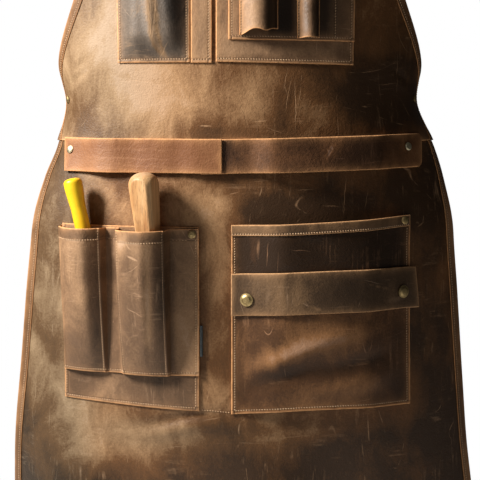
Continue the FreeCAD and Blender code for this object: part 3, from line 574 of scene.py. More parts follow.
CARGO = leather("cargo_hide", (0.030, 0.014, 0.0055), (0.094, 0.040, 0.0145), (0.28, 0.13, 0.050), 0.8, shift=(0.2, 0, 0.5),
                streaks=[(66, -108, 26, 1.1, -6, 0.45), (98, -110, 32, 0.9, 88, 0.35), (104, -110, 28, 0.9, 86, 0.3),
                         (20, -108, 24, 4.0, 88, 0.45), (30, -110, 24, 1.6, 92, 0.35), (87, -214, 42, 1.0, 8, 0.5),
                         (106, -203, 46, 1.0, 10, 0.45), (49, -243, 12, 1.2, 90, 0.5), (118, -196, 30, 1.4, 6, 0.3),
                         (60, -218, 40, 1.2, 26, 0.4), (150, -120, 40, 0.8, 4, 0.2)])
DARK = leather("dark_hide", (0.040, 0.032, 0.026), (0.155, 0.117, 0.088), (0.38, 0.23, 0.12), 0.75, gloss=0.5,
               shift=(0.7, 0, 0.2), streaks=[(-92, 140, 60, 3.2, 84, 0.8), (-83, 106, 26, 2.0, 60, 0.6)])
WAIST_LEFT = leather("waist_hide_left", (0.13, 0.047, 0.017), (0.225, 0.088, 0.034), (0.37, 0.17, 0.073), 0.25, 0.4,
                     shift=(0.1, 0, 0.9), streaks=[(-120, 0, 130, 4, 0, 0.18), (-130, -10, 110, 3, 0, 0.22),
                                                   (-100, -18, 140, 3, -1, 0.15), (-150, -21, 60, 4, 0, 0.22)])
WAIST_RIGHT = leather("waist_hide_right", (0.028, 0.0125, 0.0055), (0.050, 0.0205, 0.008), (0.19, 0.08, 0.030), 0.5,
                      shift=(0.5, 0, 0.6), streaks=[(97, -2, 20, 3.4, 62, 0.8), (20, -8, 30, 2, 80, 0.3),
                                                    (-16, -8, 28, 1.4, 86, 0.35), (150, -14, 40, 1.2, 3, 0.3)])
FLAP = leather("flap_hide", (0.036, 0.020, 0.010), (0.074, 0.041, 0.020), (0.22, 0.125, 0.060), 0.7, 0.9,
               rim=(0.62, 0.34, 0.16), shift=(0.9, 0, 0.1),
               streaks=[(50, -160, 28, 2.4, 91, 0.6), (55.5, -162, 22, 1.4, 84, 0.5), (70, -167, 11, 2.2, -22, 0.7),
                        (146, -145, 30, 1.2, -21, 0.6), (130, -168, 7, 1.6, 80, 0.5), (30, -158, 30, 6, 88, 0.25),
                        (172, -168, 26, 8, 5, 0.3), (110, -170, 30, 1.2, 2, 0.3)])
STRAP_HIDE = leather("strap_hide", (0.06, 0.03, 0.014), (0.16, 0.076, 0.032), (0.32, 0.165, 0.075), 0.4)
BRASS = metal("antique_brass", (0.10, 0.065, 0.025), (0.62, 0.46, 0.22))
BRIGHT = metal("rivet_brass", (0.30, 0.22, 0.11), (0.86, 0.76, 0.52), 0.3, 0.35)
IRON = iron("hook_iron")
STEEL = metal("tool_steel", (0.20, 0.20, 0.21), (0.6, 0.6, 0.61), 0.3, 0.5)
WOOD = timber("handle_wood")
YELLOW = plastic("yellow_plastic", (0.93, 0.62, 0.018), (0.88, 0.46, 0.010), 0.32)
BLACK = plastic("black_plastic", (0.02, 0.02, 0.021), (0.03, 0.03, 0.031), 0.4)
THREAD = thread("thread", (0.68, 0.46, 0.27), (0.48, 0.28, 0.15))
CLOTH = woven("label_cloth")


def put(piece, body, slot, *stands_for):
    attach(piece, body)
    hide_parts(*stands_for)
    return piece


# ---------------------------------------------------------------- bib, skirt, bindings
def bib_tone_and_painted_light(x, z):
    t = 1.1 * blob(x, z, -120, 110, 60, 60) + 0.5 * blob(x, z, -60, 55, 60, 25) - 0.3 * blob(x, z, -150, 60, 20, 20)
    t += 0.55 * blob(x, z, 20, 58, 26, 26) + 0.35 * blob(x, z, 62, 50, 18, 26, 20) - 0.7 * blob(x, z, 48, 50, 14, 38, -5)
    t += 0.45 * blob(x, z, 92, 36, 22, 26) - 0.45 * blob(x, z, 140, 60, 34, 50) - 0.5 * blob(x, z, -20, 18, 40, 10)
    t += 0.7 * blob(x, z, -108, 62, 5, 26, -25) + 0.4 * blob(x, z, -160, 96, 30, 6, 40)
    t -= 0.55 * ease((x - 113) / 12) * bump(z, 16, 112, 18)
    # painted light: the tanh term makes the hide lighter to the left and darker to the right, as the key light falls
    # from the left
    return 0.8 * t - 0.26 * np.tanh(x / 110) - 0.05


def skirt_tone_and_painted_light(x, z):
    t = 0.45 * blob(x, z, -150, -60, 60, 30) + 0.65 * blob(x, z, -28, -120, 16, 90) + 0.5 * blob(x, z, -20, -60, 40, 18)
    t -= 0.9 * blob(x, z, 26, -66, 26, 20) + 0.9 * blob(x, z, 80, -66, 60, 22) + 0.6 * blob(x, z, 150, -50, 60, 30)
    t += 0.35 * blob(x, z, 90, -50, 40, 14) - 0.5 * blob(x, z, -60, -300, 50, 10) + 0.6 * blob(x, z, -190, -250, 26, 70)
    t += 0.5 * blob(x, z, 90, -318, 80, 9, 3) + 0.5 * blob(x, z, 0, -330, 60, 12) - 0.3 * blob(x, z, 215, -200, 26, 160)
    t += 1.2 * blob(x, z, -150, -335, 90, 30, 4) - 0.4 * blob(x, z, -130, -52, 14, 22)
    # painted light: the tanh term makes the hide lighter to the left and darker to the right; the dip at (-60, -300) is
    # painted shade in the drape's crease
    return 0.8 * t - 0.25 * np.tanh(x / 120) - 0.5 * ease((-292 - z) / 40) + 0.15 * ease((-420 - z) / 60) - 0.1


bib = panel("bib", MAIN, BIB_EDGE, 345, 8, BIB_BACK, LEATHER, step=3.6, tone=bib_tone_and_painted_light,
            # grey here is a painted sheen on the bib's lit left side
            grey=lambda x, z: 0.7 * ease((-60 - x) / 90))
put(bib, "apron", "main_hide", "bib_panel")
skirt = panel("skirt", MAIN, SKIRT_EDGE, 14, -530, 0.0, LEATHER, step=3.6, tone=skirt_tone_and_painted_light,
              # grey here is a painted sheen on the skirt's lit left side and on the raised fold near height -320
              grey=lambda x, z: np.maximum(0.95 * ease((-130 - x) / 70), 0.6 * blob(x, z, -80, -320, 160, 26)))
put(skirt, "apron", "main_hide", "skirt_panel")


def edge_binding(name, edge, side, top, foot, back, node):
    """Thin hide folded round a raw edge and sewn down, a little puffed over the fold."""
    z = lines(top - foot, 4.0)
    z = top - z
    phi = np.radians(smooth(edge, z, 1))
    here, there = around(side * phi, z, back), around(side * (phi - 0.02), z, back)
    per = (0.02 / np.linalg.norm(here - there, axis=1))[:, None]
    face, rear, nose = back + LEATHER + 0.25, back - 0.25, LEATHER / 2 + 1.35
    mid = back + LEATHER / 2
    loop = []
    for d in (-11.8, -11.2, -10, -9, -8.4, -7.8, -6.5, -5, -3, -1.2):
        puff = 0.55 * math.sin(math.pi * min((d + 12) / 8, 1)) if d < -8 else 0.55 + 0.35 * math.sin(math.pi * (d + 8) / 9)
        puff -= 0.45 * math.exp(-((d + 8.4) / 0.8) ** 2)
        loop.append((d, face + 0.75 + 0.6 * puff))
    for a in np.linspace(75, -75, 7):
        loop.append((0.1 + 1.2 * math.cos(math.radians(a)), mid + (nose + 0.5) * math.sin(math.radians(a))))
    loop += [(-d0, 2 * mid - o) for d0, o in [(1.2, face + 1.1), (5, face + 1.0), (8.4, face + 0.7), (11.2, face + 0.9),
                                              (11.8, face + 0.6)]]
    loop += [(-11.8, rear), (-6, rear), (0.25, rear), (0.25, face), (-6, face), (-11.8, face)]
    d, o = np.array(loop).T
    points = around(side * (phi[:, None] + d[None, :] * per), z[:, None], o[None, :])
    n, m = points.shape[:2]
    faces = [(i * m + j, i * m + (j + 1) % m, (i + 1) * m + (j + 1) % m, (i + 1) * m + j)
             for i in range(n - 1) for j in range(m)]
    faces += [tuple(range(m - 1, -1, -1)), tuple((n - 1) * m + j for j in range(m))]
    raw = np.tile((np.abs(d + 11.8) < 0.3).astype(float), (n, 1))
    marks = {"rim": raw * 0.8, "worn": np.tile(np.exp(-np.abs(d - 0.8) / 1.6), (n, 1)),
             "sunk": np.tile(0.4 * np.exp(-((d + 8.4) / 0.9) ** 2), (n, 1)), "tone": np.full((n, m), 0.1)}
    piece = mesh_piece(name, points.reshape(-1, 3), faces, BINDING, {k: v.ravel() for k, v in marks.items()})
    put(piece, "apron", "binding_hide", node)
    row = around(side * (phi - 8.4 * per[:, 0]), z, face + 0.75)
    ahead = around(side * (phi - 8.4 * per[:, 0]), z, face + 1.75) - row
    return stitch_row(row, ahead)


def thread_piece(name, rows, body="apron"):
    points, faces, total = [], [], 0
    for p, q in rows:
        points.append(p)
        faces += [tuple(i + total for i in face) for face in q]
        total += len(p)
    piece = mesh_piece(name, np.concatenate(points), faces, THREAD)
    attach(piece, body)
    return piece


rows = []
for word, side in (("left", -1), ("right", 1)):
    rows.append(edge_binding("bib_edge_" + word, BIB_EDGE, side, 345, 8, BIB_BACK, "bib_binding_" + word))
    rows.append(edge_binding("skirt_edge_" + word, SKIRT_EDGE, side, 7.6, -530, 0.0, "skirt_binding_" + word))
thread_piece("binding_thread", rows)

band = patch("top_band", MAIN, -112, 112, 345, 319, lambda x, z: BIB_FACE + 0.3 + 0 * x, 1.5,
             grooves=(("top", 4), ("foot", 4), ("left", 4), ("right", 4)), across=(4, 220), down=(4, 22))
put(band, "apron", "main_hide", "bib_top_band")
hem = panel("hem", BINDING, [(0, 65), (-600, 65)], -505, -530, -GAP - 1.6, 1.6, grooves=(("top", 4),), down=(4,))
put(hem, "apron", "main_hide", "skirt_hem")


# ---------------------------------------------------------------- chest pockets
def pocket_tone(x, z):
    ridge = blob(x, z, -93, 140, 6, 40, 6) + 0.8 * blob(x, z, -84, 106, 4, 16, 32)
    return 0.3 * blob(x, z, -118, 150, 14, 50) - 0.7 * blob(x, z, -72, 160, 12, 30) + 1.2 * ridge - 0.3


def chest_back(x, z):
    crease = 3.0 * blob(x, z, -93, 140, 5, 48, 5) - 2.0 * blob(x, z, -81, 145, 7, 40, 5)
    return CHEST + 11 * bump(x, -132, -53, 26) * bump(z, 94, 300, 30) + crease * ease((z - 96) / 20)


def flat(x, z):
    return CHEST + 0 * x


def over(x, z):
    return CHEST + PATCH + GAP + 0 * x


def pen_back(x, z):
    return CHEST + PATCH + GAP + 0.8 * bump(x, 86, 122, 16)


LOOPS = (("wide", -0.5, 40, 13.5, 122.5, 6.5), ("narrow", 60, 84, 12.0, 119.3, 1.0))


def loop_back(low, high, tall):
    """A half tube sewn down along both sides, a little fuller to the right."""
    def back(x, z):
        t = np.clip((x - low - 2.2) / (high - low - 4.4), 0, 1)
        ring = np.sin(math.pi * t**1.08) ** 0.62
        droop = 1 + 0.10 * np.exp(-((z - 126) / 9.0) ** 2)
        return CHEST + 2 * (PATCH + GAP) + tall * ring * droop
    return back


put(patch("chest_pocket", DARK, -131.5, -53, 205, 94, chest_back, PATCH, step=2.4, across=(3.6, 74.9), down=(107.4,),
          grooves=(("left", 3.6), ("right", 3.6), ("foot", 3.6)), tone=pocket_tone),
    "apron", "dark_hide", "chest_pocket_left")
put(patch("chest_middle", POCKET, -52, -29.7, 205, 93.5, flat, PATCH, across=(18.7,), down=(107.9,),
          grooves=(("right", 3.6), ("foot", 3.6)), tone=lambda x, z: 0.35 + 0 * x), "apron", "pocket_hide", "chest_strip")
put(patch("chest_backing", POCKET, -25.5, 122.4, 205, 94, flat, PATCH, tilt=(0, -0.02), across=(144.3,), down=(107.4,),
          grooves=(("right", 3.6), ("foot", 3.6)),
          tone=lambda x, z: 0.35 * blob(x, z, -10, 150, 16, 80) + 0.4 * blob(x, z, 30, 106, 50, 5)),
    "apron", "pocket_hide", "chest_base")
# Painted shade: shade darkens the panel right of each pen loop, and the tone's dips at x 50 and 100 paint the same
# shadow
put(patch("pen_pockets", POCKET, -12.2, 122.2, 205, 118, pen_back, PATCH, step=2.6, tilt=(0, -0.012),
          across=(3.6, 12.2, 113, 130.8), down=(83.4,),
          grooves=(("left", 3.6), ("left", 113.2), ("right", 3.6), ("foot", 3.6)),
          shade=lambda x, z: np.maximum(0.95 * bump(x, 26, 62, 8), 0.8 * bump(x, 76, 101, 8)) * ease((z - 118) / 12),
          tone=lambda x, z: 0.3 * blob(x, z, -8, 150, 6, 80) - 0.5 * blob(x, z, 50, 160, 8, 60) - 0.4 * blob(x, z, 100, 150, 14, 60)),
    "apron", "pocket_hide", "pen_panel")
# Painted light on each loop: shade darkens its right flank as painted shadow, and the tone lightens the wide loop's lit
# left part as a painted highlight and darkens the narrow loop
for word, low, high, tall, foot, rise in LOOPS:
    loop = patch("pen_loop_" + word, POCKET, low, high, 205, foot, loop_back(low, high, tall), PATCH, step=1.3,
                 grooves=(("left", 1.6), ("right", 1.6)), across=(1.6, 2.6, 4, 5.5, high - low - 5.5, high - low - 4, high - low - 1.6),
                 bow=lambda s, rise=rise: rise * (ease(s / 0.4) - 0.35 * np.exp(-((s - 0.66) / 0.12) ** 2)), shade=lambda x, z, m=0.5 * (low + high) + 4: 0.9 * ease((x - m) / 7),
                 tone=lambda x, z, m=0.5 * (low + high): (0.5 if m < 40 else -0.45) * blob(x, z, m - 6, 140, 9, 60))
    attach(loop, "apron")


def face(back, thick=PATCH):
    return lambda x, z: back(x, z) + thick


sew("chest_thread", "apron", THREAD, [
    ([-127.9, -127.9], [204, 97.6], face(chest_back)), ([-127.9, -56.6], [97.6, 97.6], face(chest_back)),
    ([-56.6, -56.6], [97.6, 204], face(chest_back)), ([-33.3, -33.3], [204, 97.1], face(flat)),
    ([-51, -33.3], [97.1, 97.1], face(flat)), ([-24, 118.8], [98.1, 95.2], face(flat)),
    ([118.8, 118.8], [95.4, 116], face(flat)),
    ([-8.6, -8.6], [204, 121.8], face(pen_back)), ([-8.6, 118.6], [121.8, 120.2], face(pen_back)),
    ([118.6, 118.6], [120.2, 204], face(pen_back)), ([1.1, 1.1], [204, 125], face(loop_back(-0.5, 40, 13.5))), ([61.6, 61.6], [204, 122], face(loop_back(60, 84, 12.0))),
    ([101, 101], [204, 121], face(pen_back)),
    ([-108, 108], [341, 341], lambda x, z: BIB_FACE + 1.8 + 0 * x),
    ([-108, 108], [323, 323], lambda x, z: BIB_FACE + 1.8 + 0 * x)])


# ---------------------------------------------------------------- waist strap
def strap_left(x, z):
    return CHEST + 5.5 * bump(x, -178, -112, 30) + (STRAP + GAP) * bump(x, -70, 200, 25) + 0.8 * np.sin(x / 17) * bump(x, -160, -60, 30)


def strap_right(x, z):
    return CHEST + 8 * bump(x, 8, 175, 30) + 1.0 * np.sin(x / 24 + z / 30) * bump(x, 10, 170, 30)


put(patch("waist_strap_front", WAIST_LEFT, -195, -19, 12, -25.5, strap_left, STRAP, step=3,
          tone=lambda x, z: 0.25 * blob(x, z, -150, -14, 30, 8) + 0.2 * blob(x, z, -30, 0, 16, 20)),
    "apron", "strap_hide", "waist_strap_left")
put(patch("waist_strap_back", WAIST_RIGHT, -42, 202, 12, -25.5, strap_right, STRAP, tilt=(0.024, 0.024), clip=4.0,
          step=3, tone=lambda x, z: 1.3 * blob(x, z, 97, -2, 1.6, 9, -30) - 0.4 * blob(x, z, -8, -5, 14, 20)),
    "apron", "strap_hide", "waist_strap_right")

# ---------------------------------------------------------------- tool pocket
SLOT_TOP, SLOT_FOOT = -86.0, -250.0
BASE_OUT = LEATHER + GAP
SLOT_OUT = BASE_OUT + PATCH + GAP
SLOTS = ((-198.5, -146.5, 4, 20, 0.52, 0.75), (-131, -75.5, 14, 19, 0.55, 0.5))   # edges, edge lift, crown, where, how full


def slot_back(x, z):
    down = np.clip((SLOT_TOP - z) / (SLOT_TOP - SLOT_FOOT), 0, 1)
    fade = 1 - 0.8 * down**2
    out = 0.0
    for low, high, lift, crown, peak, full in SLOTS:
        t = np.clip((x - low) / (high - low), 0, 1)
        t = np.where(t < peak, 0.5 * t / peak, 0.5 + 0.5 * (t - peak) / (1 - peak))
        box = ease((x - low) / 3.2) * ease((high - x) / 2.6)
        lip = 1.3 * np.exp(-((x - high + 3.0) / 0.9) ** 2) + 1.1 * np.exp(-((x - low - 3.4) / 0.9) ** 2)
        out = out + fade * (lift * box + crown * np.sin(math.pi * t) ** full) + lip * (0.4 + 0.6 * fade)
    crumple = 0.9 * np.sin(z / 7 + x / 13) * np.sin(z / 17 + 2) * bump(x, -196, -168, 10) * ease((SLOT_TOP - 14 - z) / 20)
    crumple = crumple + 2.2 * blob(x, z, -100, -150, 5, 70, -1) + 1.6 * blob(x, z, -163, -150, 5, 80)
    return SLOT_OUT + out + crumple * ease((z - SLOT_FOOT) / 30)


def tool_tone_and_painted_light(x, z):
    # Painted light and shade on the slot faces: the rise at x -182 lights the first slot's left part, the dip at x -158
    # shades its right part, the rise at x -100 is a painted highlight on the second slot's ridge, and the dip at x -84
    # paints shade right of it
    t = 0.9 * blob(x, z, -100, -150, 4.5, 60) - 0.6 * blob(x, z, -158, -180, 8, 90) + 0.4 * blob(x, z, -182, -140, 14, 60)
    t += 0.8 * blob(x, z, -126, -96, 6, 12, -30) - 0.7 * blob(x, z, -84, -160, 9, 80)
    t -= 0.15 * blob(x, z, -120, -160, 9, 60) + 0.05
    t += 0.35 * ease((x + 150) / 20) + 0.35 * ease((x + 76) / 8) - 0.1 - 0.5 * ease((z + 98) / 2)
    return t


put(patch("tool_backing", POCKET, -199.5, -45, -84, -293, lambda x, z: BASE_OUT + 0 * x, PATCH, tilt=(0, -0.047),
          across=(4, 152), down=(205,), grooves=(("left", 4), ("right", 4), ("foot", 4)),
          tone=lambda x, z: 0.25 * blob(x, z, -150, -275, 40, 12) - 0.1), "apron", "pocket_hide", "tool_pocket_base")
put(patch("tool_slots", POCKET, -198.5, -44.5, SLOT_TOP, SLOT_FOOT, slot_back, PATCH, step=1.9,
          across=(1.5, 3.5, 48.5, 51, 53, 70.5, 73, 75, 119.5, 122, 124, 152.5), down=(12.5, 160.5),
          grooves=(("top", 12.5), ("right", 3.5), ("foot", 3.5)), tone=tool_tone_and_painted_light), "apron", "pocket_hide", "slot_panel")
tag = patch("side_tag", CLOTH, -44, -40.8, -193.5, -228.4, lambda x, z: BASE_OUT + 0.2 + 0 * x, 3.0, step=1.0)
put(tag, "apron", "label_cloth", "label_tab")
slot_face = face(slot_back)
sew("tool_thread", "apron", THREAD, [
    ([-196, -151], [-98.5, -98.5], slot_face), ([-144, -133], [-98.5, -98.5], slot_face),
    ([-127, -80], [-98.5, -98.5], slot_face), ([-74, -57], [-98.5, -98.5], slot_face),
    ([-150.8, -150.8], [-88, -245], slot_face), ([-126.2, -126.2], [-88, -245], slot_face),
    ([-79.8, -79.8], [-88, -245], slot_face), ([-48, -48], [-97, -246], slot_face),
    ([-197, -48], [-246.5, -246.5], slot_face),
    ([-197, -197], [-252, -279], lambda x, z: BASE_OUT + PATCH + 0 * x),
    ([-197, -49], [-280.5, -286.8], lambda x, z: BASE_OUT + PATCH + 0 * x),
    ([-49, -49], [-252, -286], lambda x, z: BASE_OUT + PATCH + 0 * x),
    ([-43, -11], [-289.5, -292.5], lambda x, z: LEATHER + 0.2 + 0 * x)])


# ---------------------------------------------------------------- cargo pocket
def cargo_back(x, z):
    out = BASE_OUT + 15 * bump(x, -9, 190, 60) * (0.45 + 0.55 * bump(z, -292, 40, 90))
    below = ease((-186 - z) / 14) * ease((z + 290) / 26) * bump(x, -6, 187, 26)
    fold = (3.4 * blob(x, z, 60, -224, 60, 10, 24) - 3.0 * blob(x, z, 52, -249, 52, 11, 26)
            + 2.4 * blob(x, z, 120, -262, 54, 12, 14) - 2.2 * blob(x, z, 118, -236, 46, 9, 12)
            + 1.6 * blob(x, z, 28, -268, 26, 9, 20))
    above = ease((-92 - z) / 8) * ease((z + 134) / 10) * bump(x, -6, 187, 30)
    ripple = 1.0 * np.sin(x / 13 + z / 60) * np.exp(-((x - 60) / 60) ** 2)
    return out + below * fold + above * ripple


def cargo_tone_and_painted_light(x, z):
    # painted light on the folds: the rises at (52, -222) and (130, -262) light the raised folds as painted highlights,
    # and the dips at (46, -250) and (120, -240) paint shade in their hollows
    t = -0.9 * ease((z + 172) / 22) + 0.9 * blob(x, z, 52, -222, 40, 11, 24) - 0.5 * blob(x, z, 46, -250, 36, 10, 26)
    t += 0.55 * blob(x, z, 110, -208, 40, 7, 12) + 0.35 * blob(x, z, 130, -262, 50, 12, 10) - 0.6 * blob(x, z, 120, -240, 44, 9, 12)
    t += 0.5 * blob(x, z, 16, -110, 5, 18) + 0.5 * blob(x, z, 26, -112, 3, 14) + 0.4 * blob(x, z, 84, -106, 14, 2.0, -6)
    return t


put(patch("cargo_front", CARGO, -9.5, 190, -81.5, -293.9, cargo_back, PATCH, tilt=(0.039, 0.0177), step=3.0,
          slant=(0, 3.2), bow=lambda s: 3.2 * np.sin(math.pi * s), raw=1.3,
          across=(3.8, 195.7), down=(12.5, 208.6), grooves=(("left", 3.8), ("right", 3.8), ("foot", 3.8)),
          tone=cargo_tone_and_painted_light), "apron", "pocket_hide", "cargo_pocket")
cargo_face = face(cargo_back)
put(patch("cargo_hem_band", FLAP, -9.5, 189, -81.5, -93.5, lambda x, z: cargo_face(x, z) + 0.25, 1.3, tilt=(0.039, 0.038),
          down=(10,), grooves=(("foot", 2.0),), step=3,
          tone=lambda x, z: 0.1 + 0 * x), "apron", "pocket_hide", "cargo_hem")
sew("cargo_thread", "apron", THREAD, [
    ([-9, 188], [-91.9, -84.4], lambda x, z: cargo_face(x, z) + 1.55),
    ([-5.7, -5.7], [-95, -290], cargo_face), (np.linspace(-5.7, 189, 40), np.linspace(-290, -286.6, 40) + 3.2 * np.sin(math.pi * (np.linspace(-5.7, 189, 40) + 9.5) / 203), cargo_face),
    ([189, 186], [-286, -88], cargo_face)])


# ---------------------------------------------------------------- the pocket's closing strap
def closing(x, z):
    return 2.4 + 15 * bump(np.minimum(x, 186), -9, 190, 60) * (0.45 + 0.55 * bump(-157.0, -292, 40, 90)) + PATCH + 1.2


def closing_tone(x, z):
    return (0.5 * blob(x, z, 62, -158, 8, 22) + 0.4 * blob(x, z, 45, -162, 6, 20) - 0.35 * blob(x, z, 120, -152, 34, 16)
            + 0.9 * blob(x, z, 84, -172, 6, 1.3, -20) + 0.7 * blob(x, z, 152, -150, 14, 0.9, -18) + 0.3 * blob(x, z, 176, -165, 14, 10))


cover = patch("closing_strap", FLAP, -9.7, 199, -135.2, -182.2, closing, STRAP, tilt=(0.015, 0.015), slant=(-3.2, 1.8), arch=3.2, step=2.6,
              tone=closing_tone)
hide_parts("tool_strap_fixed", "tool_strap_free")
crease = at(np.array(22.0), np.array(-158.0), np.array(12.0)) * 0.001
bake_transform(cover)


# ---------------------------------------------------------------- the marker and the chisel
def frame_of(x, z, out, lean, tip_out):
    """Where a tool crosses its slot's mouth, and its turn, as on the model's parts."""
    shape = lambda a, b: np.array(plain(a, b, 0.0))
    side = shape(x + 0.5, z) - shape(x - 0.5, z)
    side /= np.linalg.norm(side)
    way = np.cross(side, shape(x, z + 0.5) - shape(x, z - 0.5))
    way /= np.linalg.norm(way)
    axis = np.array([0, 0, 1.0]) - side * math.tan(math.radians(lean)) + way * math.tan(math.radians(tip_out))
    axis /= np.linalg.norm(axis)
    across = side - axis * side.dot(axis)
    across /= np.linalg.norm(across)
    return np.array(plain(x, z, out)), np.stack([across, np.cross(axis, across), axis])


def plain(x, z, out):
    shift, wide, deep, crest = (float(smooth(SECTIONS, np.array(float(z)), k)) for k in (1, 2, 3, 4))
    phi = math.asin((x - shift) / wide)
    nx, ny = deep * math.sin(phi), -wide * math.cos(phi)
    n = math.hypot(nx, ny)
    return (shift + wide * math.sin(phi) + out * nx / n, crest + deep * (1 - math.cos(phi)) + out * ny / n, z + WAIST)


def turned(name, material, radius, heights, spot, turn, around_count=64, ends=True):
    """A closed piece round an axis: radius(angle, height)."""
    a = np.linspace(0, 2 * math.pi, around_count, endpoint=False)
    aa, hh = np.meshgrid(a, heights)
    r = radius(aa, hh)
    local = np.stack([r * np.cos(aa), r * np.sin(aa), hh], -1)
    points = (local.reshape(-1, 3) @ turn) + spot
    n, m = hh.shape
    faces = [(i * m + j, i * m + (j + 1) % m, (i + 1) * m + (j + 1) % m, (i + 1) * m + j)
             for i in range(n - 1) for j in range(m)]
    faces += [tuple(range(m - 1, -1, -1)), tuple((n - 1) * m + j for j in range(m))]
    top = np.clip((hh - heights[-1] + 7) / 6, 0, 1)
    return mesh_piece(name, points, faces, material, {"end": top.ravel()})


spot, turn = frame_of(-168, -86, 16.8, 12, 2)
barrel = np.concatenate([np.linspace(-18, 46, 40), 46 + 9.4 * np.sin(np.linspace(0.08, math.pi / 2 - 0.02, 20))])


def marker_radius(a, h):
    base = np.interp(h, [-18, 8, 22, 32, 44, 56], [7.9, 8.6, 8.7, 9.3, 10.3, 10.4])
    cap = np.clip((h - 46) / 9.5, 0, 1)
    soft = 1 - 0.035 * np.exp(-((h - 20) / 9) ** 2) + 0.012 * np.sin(h / 7 + a)
    return base * soft * (1 - cap**5) ** 0.5


put(turned("marker_body", YELLOW, marker_radius, barrel, spot, turn), "marker", "yellow_plastic", "marker_barrel")

spot, turn = frame_of(-96, -86, 21.5, 4, 3)


def handle_radius(a, h):
    """A hand-shaped eight-sided grip, wider across the front, with a domed end."""
    half = np.interp(h, [-62, -40, 0, 44, 56, 62.5], [11.0, 12.6, 13.9, 16.6, 17.2, 17.2])
    stack = []
    for side in range(8):
        off = a - math.radians(45 * side - 12)
        reach = half * (0.829 if side % 2 == 0 else 0.982)
        stack.append(np.where(np.cos(off) > 0.3, reach / np.maximum(np.cos(off), 0.3), 99.0))
    stack.append(16.9 * np.sqrt(np.clip(1 - np.clip((h - 42) / 20.9, 0, 1) ** 3.4, 0, 1)) + 0 * a)
    stack.append(12.5 + 6 * np.sqrt(np.clip((h + 62.2) / 14, 0, 1)) + 0 * a)
    k = 3.5
    return -np.log(np.exp(-k * np.minimum(np.stack(stack), 60)).sum(0)) / k


heights = np.concatenate([np.linspace(-62, -50, 10), np.linspace(-48, 38, 30), 40 + 22.6 * np.sin(np.linspace(0.05, math.pi / 2 - 0.015, 26))])
put(turned("chisel_grip", WOOD, handle_radius, heights, spot, turn, 128), "chisel", "handle_wood", "chisel_handle")

# ---------------------------------------------------------------- neck strap, belt and ring tabs
def run_through(points, step, extra=()):
    """Places along a smooth path through the points, and the path there."""
    points = np.array(points, float)
    run = np.concatenate([[0], np.cumsum(np.linalg.norm(np.diff(points, axis=0), axis=1))])
    t = np.concatenate([np.linspace(0, run[-1], int(run[-1] / step)), [0.4, run[-1] - 0.4], *[run[list(e)] for e in extra]])
    t = np.unique(np.round(t, 3))
    rows = [tuple([r, *q]) for r, q in zip(run, points)]
    return run, t, np.stack([smooth(rows, t, k + 1) for k in range(points.shape[1])], -1)


def strap(name, body, node, points, broad, half, thick, slits=(), step=2.0, material=None):
    """A strap along a path: broad and half give the direction and half of its width at each point.

    slits are (first point, last point, half width) of holes for a buckle's prong."""
    table = np.concatenate([np.array(points, float), np.array(broad, float), np.array(half, float)[:, None]], 1)
    run, t, rows = run_through(table[:, :3], step, [(a, b) for a, b, _ in slits])
    pick = lambda k: np.interp(t, run, table[:, k])
    side = np.stack([pick(3), pick(4), pick(5)], -1)
    side /= np.linalg.norm(side, axis=1, keepdims=True)
    along = np.gradient(rows, t, axis=0)
    along /= np.linalg.norm(along, axis=1, keepdims=True)
    up = np.cross(side, along)
    up /= np.linalg.norm(up, axis=1, keepdims=True)
    bend = np.linalg.norm(np.gradient(along, t, axis=0), axis=1)
    wide = pick(6)
    b = np.concatenate([-1 + np.array([0, 0.02, 0.06, 0.13, 0.2, 0.27]), [-0.18, 0, 0.18], 1 - np.array([0.27, 0.2, 0.13, 0.06, 0.02, 0])])
    near = (1 - np.abs(b))[None, :] * wide[:, None]
    r = 0.45 * thick
    fall = r - np.sqrt(np.maximum(r * r - (r - np.minimum(near, r)) ** 2, 0))
    line = 0.3 * np.exp(-((near - 2.4) / 0.5) ** 2)
    middle = rows[:, None] + side[:, None] * (b[None, :, None] * wide[:, None, None])
    front = middle + up[:, None] * (thick / 2 - fall - line)[..., None]
    back = middle - up[:, None] * (thick / 2 - fall)[..., None]
    n, m = near.shape
    open_ = np.zeros((n - 1, m - 1), bool)
    centre = 0.5 * (t[1:] + t[:-1])
    for first, last, reach in slits:
        lows = (centre > run[first]) & (centre < run[last])
        open_ |= lows[:, None] & (np.abs(0.5 * (b[1:] + b[:-1])) * wide[0] < reach)[None, :]
    size = n * m
    faces = []
    for i in range(n - 1):
        for j in range(m - 1):
            if open_[i, j]:
                continue
            q = [i * m + j, i * m + j + 1, (i + 1) * m + j + 1, (i + 1) * m + j]
            faces += [tuple(q), tuple(size + k for k in reversed(q))]
            beside = ((i - 1, j, q[0], q[1]), (i, j + 1, q[1], q[2]), (i + 1, j, q[2], q[3]), (i, j - 1, q[3], q[0]))
            for ni, nj, c, d in beside:
                if not (0 <= ni < n - 1 and 0 <= nj < m - 1) or open_[ni, nj]:
                    faces.append((d, c, size + c, size + d))
    marks = {"rim": np.tile(np.clip(1 - near / 0.5, 0, 1).ravel(), 2), "worn": np.tile(np.exp(-near / 2.2).ravel(), 2),
             "sunk": np.concatenate([1.6 * line.ravel(), 0 * line.ravel()]),
             "tone": np.tile(np.repeat(np.clip(9 * bend - 0.1, -0.1, 0.7), m), 2)}
    piece = mesh_piece(name, np.concatenate([front.reshape(-1, 3), back.reshape(-1, 3)]), faces, material or STRAP_HIDE, marks)
    return put(piece, body, "strap_hide", node)


